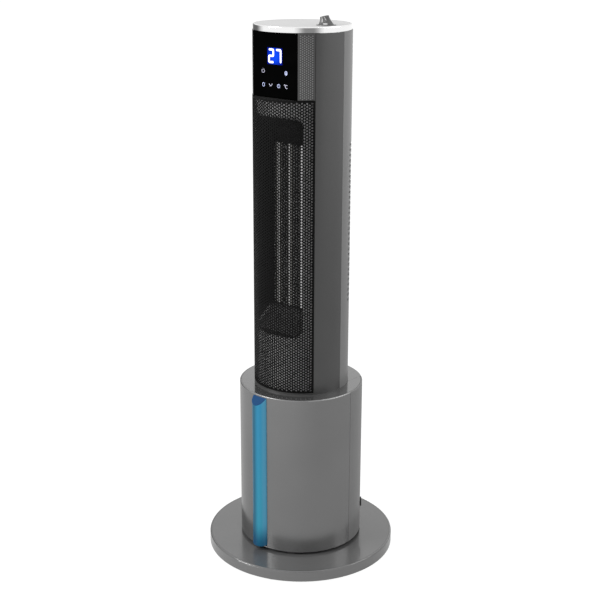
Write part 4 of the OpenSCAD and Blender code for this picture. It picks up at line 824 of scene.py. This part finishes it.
def nozzle_grid(rows=48, turns=220):
    """Radius by angle and height t from 0 to 1: a flare (1 - t) ** 1.9 from 12 mm to 7.2 mm, less the ribs,
    the slots and the notch. Rows go on over the rim and down inside to a closed floor."""
    angle = np.linspace(0, 2 * np.pi, turns, endpoint=False)[None]
    t = np.linspace(0, 1, rows)[:, None]
    flare = 7.2 + 4.8 * (1 - t) ** 1.9
    azimuth = np.degrees(angle)

    def off(middle):
        return (azimuth - middle + 180) % 360 - 180

    ribs = 0.22 * (1 + np.cos(30 * angle)) * bell(t - 0.55, 0.42)
    slot = np.maximum(bell(off(0), 7.5) * bell(t - 0.68, 0.38),
                      bell(off(64 - 30 * t), 7.0) * bell(t - 0.78, 0.26))
    notch = bell(off(30) * np.pi / 180 * flare, 3.6) * bell(t, 0.24)
    deep = np.clip(slot + notch, 0, 1)
    radius = flare - ribs * (1 - deep) - 1.1 * slot - 1.6 * notch
    top = nozzle_tall - nozzle_slant * (1 - np.cos(angle - np.radians(131))) / 2
    z = nozzle_low + t * top
    body = np.stack([radius * np.sin(angle), -radius * np.cos(angle), z + 0 * angle], -1)
    rim = np.array([[0.93, 0.12], [0.84, 0.0], [0.80, -0.6], [0.78, -5.0], [0.4, -5.2], [0.02, -5.2]])
    inner = body[-1][None] * np.stack([rim[:, 0], rim[:, 0], np.ones(6)], -1)[:, None]
    inner[..., 2] += rim[:, 1][:, None]
    foot = body[0][None] * np.array([0.02, 0.02, 1.0])
    grid = np.concatenate([foot, body, inner])
    shift = np.clip((grid[..., 2:3] - nozzle_low) / nozzle_tall, 0, 1)
    grid[..., :2] += nozzle_centre + shift * lean
    marks = np.concatenate([deep[:1] * 0, deep + 0 * t, np.zeros((len(rim), turns))])
    return grid, marks


grid, slot_marks = nozzle_grid()
rows, turns = grid.shape[:2]
print("nozzle grid, rows by turns:", rows, turns)

# %% Faces, finish and slot marks of the nozzle
i, k = np.meshgrid(np.arange(rows - 1), np.arange(turns), indexing="ij")
quads = np.stack([i * turns + k, i * turns + (k + 1) % turns, (i + 1) * turns + (k + 1) % turns,
                  (i + 1) * turns + k], -1).reshape(-1, 4)
foot_end, inner_end = np.arange(turns)[::-1][None], (rows - 1) * turns + np.arange(turns)[None]


def nozzle_look(w):
    """Dark satin plastic, light grey in the slots and the notch, which the mesh marks by a number."""
    place = where(w)
    mark = w.node("ShaderNodeAttribute", {"attribute_name": "slot_mark"}, out="Fac")
    fine = noise(w, place, 1800.0, 1.0)
    plain = mixed(w, fine, grey(0.10), grey(0.14))
    return {"Base Color": mixed(w, step(w, mark, 0.35, 0.75), plain, grey(0.62)),
            "Roughness": fine * 0.1 + 0.3, "Normal": bumped(w, fine, 0.00003, 0.4)}


nozzle = as_piece("ribbed_nozzle", grid.reshape(-1, 3), [quads, foot_end, inner_end],
                  finish("nozzle satin", nozzle_look), "nozzle", ["mist_nozzle"], sharp=60.0)
mark = nozzle.data.attributes.new("slot_mark", "FLOAT", "POINT")
mark.data.foreach_set("value", slot_marks.reshape(-1).astype(np.float32))

# %% [markdown]
# ## Studio
#
# The heater stands on a pale floor that fades into white. Rays from the camera or through clear plastic see
# that white, while the light that falls on the heater stays at a plain level, so the greys keep their
# values. Two large soft lamps shape it from the sides. Metal looks flat when it mirrors white all round,
# so mirrored rays see a greyer floor near the heater and two grey cards, which no other ray sees. They
# give the metal its darker stripes, as in a photographer's studio.

# %% White surroundings
world = bpy.data.worlds.new("studio")
world.use_nodes = True
bpy.context.scene.world = world
sky = Wire(world.node_tree)
sky_shader = world.node_tree.nodes["Background"]


def seen_directly(w):
    """1 for camera, glossy and transmission rays, 0 for the rays that light the object."""
    rays = w.node("ShaderNodeLightPath").socket.node.outputs
    kinds = "Is Camera Ray", "Is Glossy Ray", "Is Transmission Ray"
    return sum(Wire(w.tree, rays[kind]) for kind in kinds).maths("MINIMUM", 1.0)


sky_light = 0.62
strength = seen_directly(sky) * (1 - sky_light) + sky_light
world.node_tree.links.new(strength.socket, sky_shader.inputs["Strength"])
sky_shader.inputs["Color"].default_value = (1, 1, 1, 1)
print("sky, as light on the heater:", sky_light)

# %% Floor
def floor_paint():
    """White to the camera, with a trace of the shadow; greyer near the heater to mirrored rays; pale and
    matt for the light that it throws back."""
    made = bpy.data.materials.new("floor white")
    made.use_nodes = True
    tree = made.node_tree
    w = Wire(tree)
    shader = tree.nodes["Principled BSDF"]
    shader.inputs["Roughness"].default_value = 0.9
    shader.inputs["Specular IOR Level"].default_value = 0.0
    seen = seen_directly(w)
    mirrored = Wire(tree, w.node("ShaderNodeLightPath").socket.node.outputs["Is Glossy Ray"])
    place = where(w)
    x, y, z = axes(w, place)
    near = 1 - step(w, (x * x + y * y) ** 0.5, 1.2, 4.5)
    cloud = noise(w, place, 2.0)
    tone = mixed(w, seen, mixed(w, cloud, grey(0.48), grey(0.52)), grey(0.16))
    tree.links.new(tone.socket, shader.inputs["Base Color"])
    around = mixed(w, step(w, y + x * 0.5, -1.1, 0.3), grey(0.64), grey(0.46))
    shine = mixed(w, seen, grey(0.0), mixed(w, mirrored * near, grey(0.95), around))
    tree.links.new(shine.socket, shader.inputs["Emission Color"])
    shader.inputs["Emission Strength"].default_value = 1.0
    return made


def flat_card(name, centre, right, up_way, paint):
    """A flat four-cornered card from its middle and its two half sides."""
    centre, right, up_way = (np.array(v, float) for v in (centre, right, up_way))
    corners = [centre - right - up_way, centre + right - up_way,
               centre + right + up_way, centre - right + up_way]
    mesh = bpy.data.meshes.new(name)
    mesh.from_pydata([c.tolist() for c in corners], [], [[0, 1, 2, 3]])
    mesh.materials.append(paint)
    card = bpy.data.objects.new(name, mesh)
    bpy.context.scene.collection.objects.link(card)
    return card


floor_half = 60.0
flat_card("floor", (0, 0, 0), (floor_half, 0, 0), (0, floor_half, 0), floor_paint())
print("floor, m across:", 2 * floor_half)

# %% Cards for the mirrored rays
def round_axis(az, distance, z):
    """A point at an azimuth from the front towards +X."""
    return np.array([distance * np.sin(np.radians(az)), -distance * np.cos(np.radians(az)), z])


def card_look(az, half, dark):
    """A card's own light: dark in its middle and white at its sides, by the length along it."""
    east, north = float(np.cos(np.radians(az))), float(np.sin(np.radians(az)))

    def look(w):
        x, y, z = axes(w, where(w))
        along = (x * east + y * north).maths("ABSOLUTE")
        return {"Emission Color": mixed(w, step(w, along, half * 0.2, half), grey(dark), grey(0.95))}
    return look


card_z, card_half_high = 0.8, 0.79


def reflector(name, az, distance, half, dark):
    """A card that only mirrored rays see, square to the axis at an azimuth."""
    paint = finish(name, card_look(az, half, dark), Emission_Strength=1.0, Specular_IOR_Level=0.0,
                   Base_Color=grey(0.0))
    right = np.array([np.cos(np.radians(az)), np.sin(np.radians(az)), 0.0])
    card = flat_card(name, round_axis(az, distance, card_z), right * half, (0, 0, card_half_high), paint)
    card.visible_camera = card.visible_diffuse = False
    card.visible_shadow = card.visible_transmission = False


reflector("front_card", az=57.0, distance=3.0, half=2.0, dark=0.27)
reflector("left_card", az=-99.0, distance=3.0, half=2.4, dark=0.14)

# %% Lamps
aim = np.array([0.0, 0.0, 0.5])


def soft_lamp(name, az, distance, z, size, watts):
    """A square area lamp on a ring round the heater, turned to the point aim on its axis."""
    data = bpy.data.lights.new(name, "AREA")
    data.shape, data.size, data.energy = "SQUARE", size, watts
    lamp = bpy.data.objects.new(name, data)
    place = round_axis(az, distance, z)
    back = (place - aim) / np.linalg.norm(place - aim)
    side = np.cross(up, back) / np.linalg.norm(np.cross(up, back))
    turn = np.eye(4)
    turn[:3, :] = np.column_stack([side, np.cross(back, side), back, place])
    lamp.matrix_world = Matrix(turn.tolist())
    bpy.context.scene.collection.objects.link(lamp)


soft_lamp("key_lamp", az=-30.0, distance=2.6, z=2.3, size=1.6, watts=52.0)
soft_lamp("right_lamp", az=125.0, distance=2.4, z=1.9, size=1.4, watts=14.0)

# %% [markdown]
# ## Last update
#
# The dressed heater must be as large as the frame it stands on. The last line brings the scene up to date.

# %% Bring the scene up to date
bpy.context.view_layer.update()
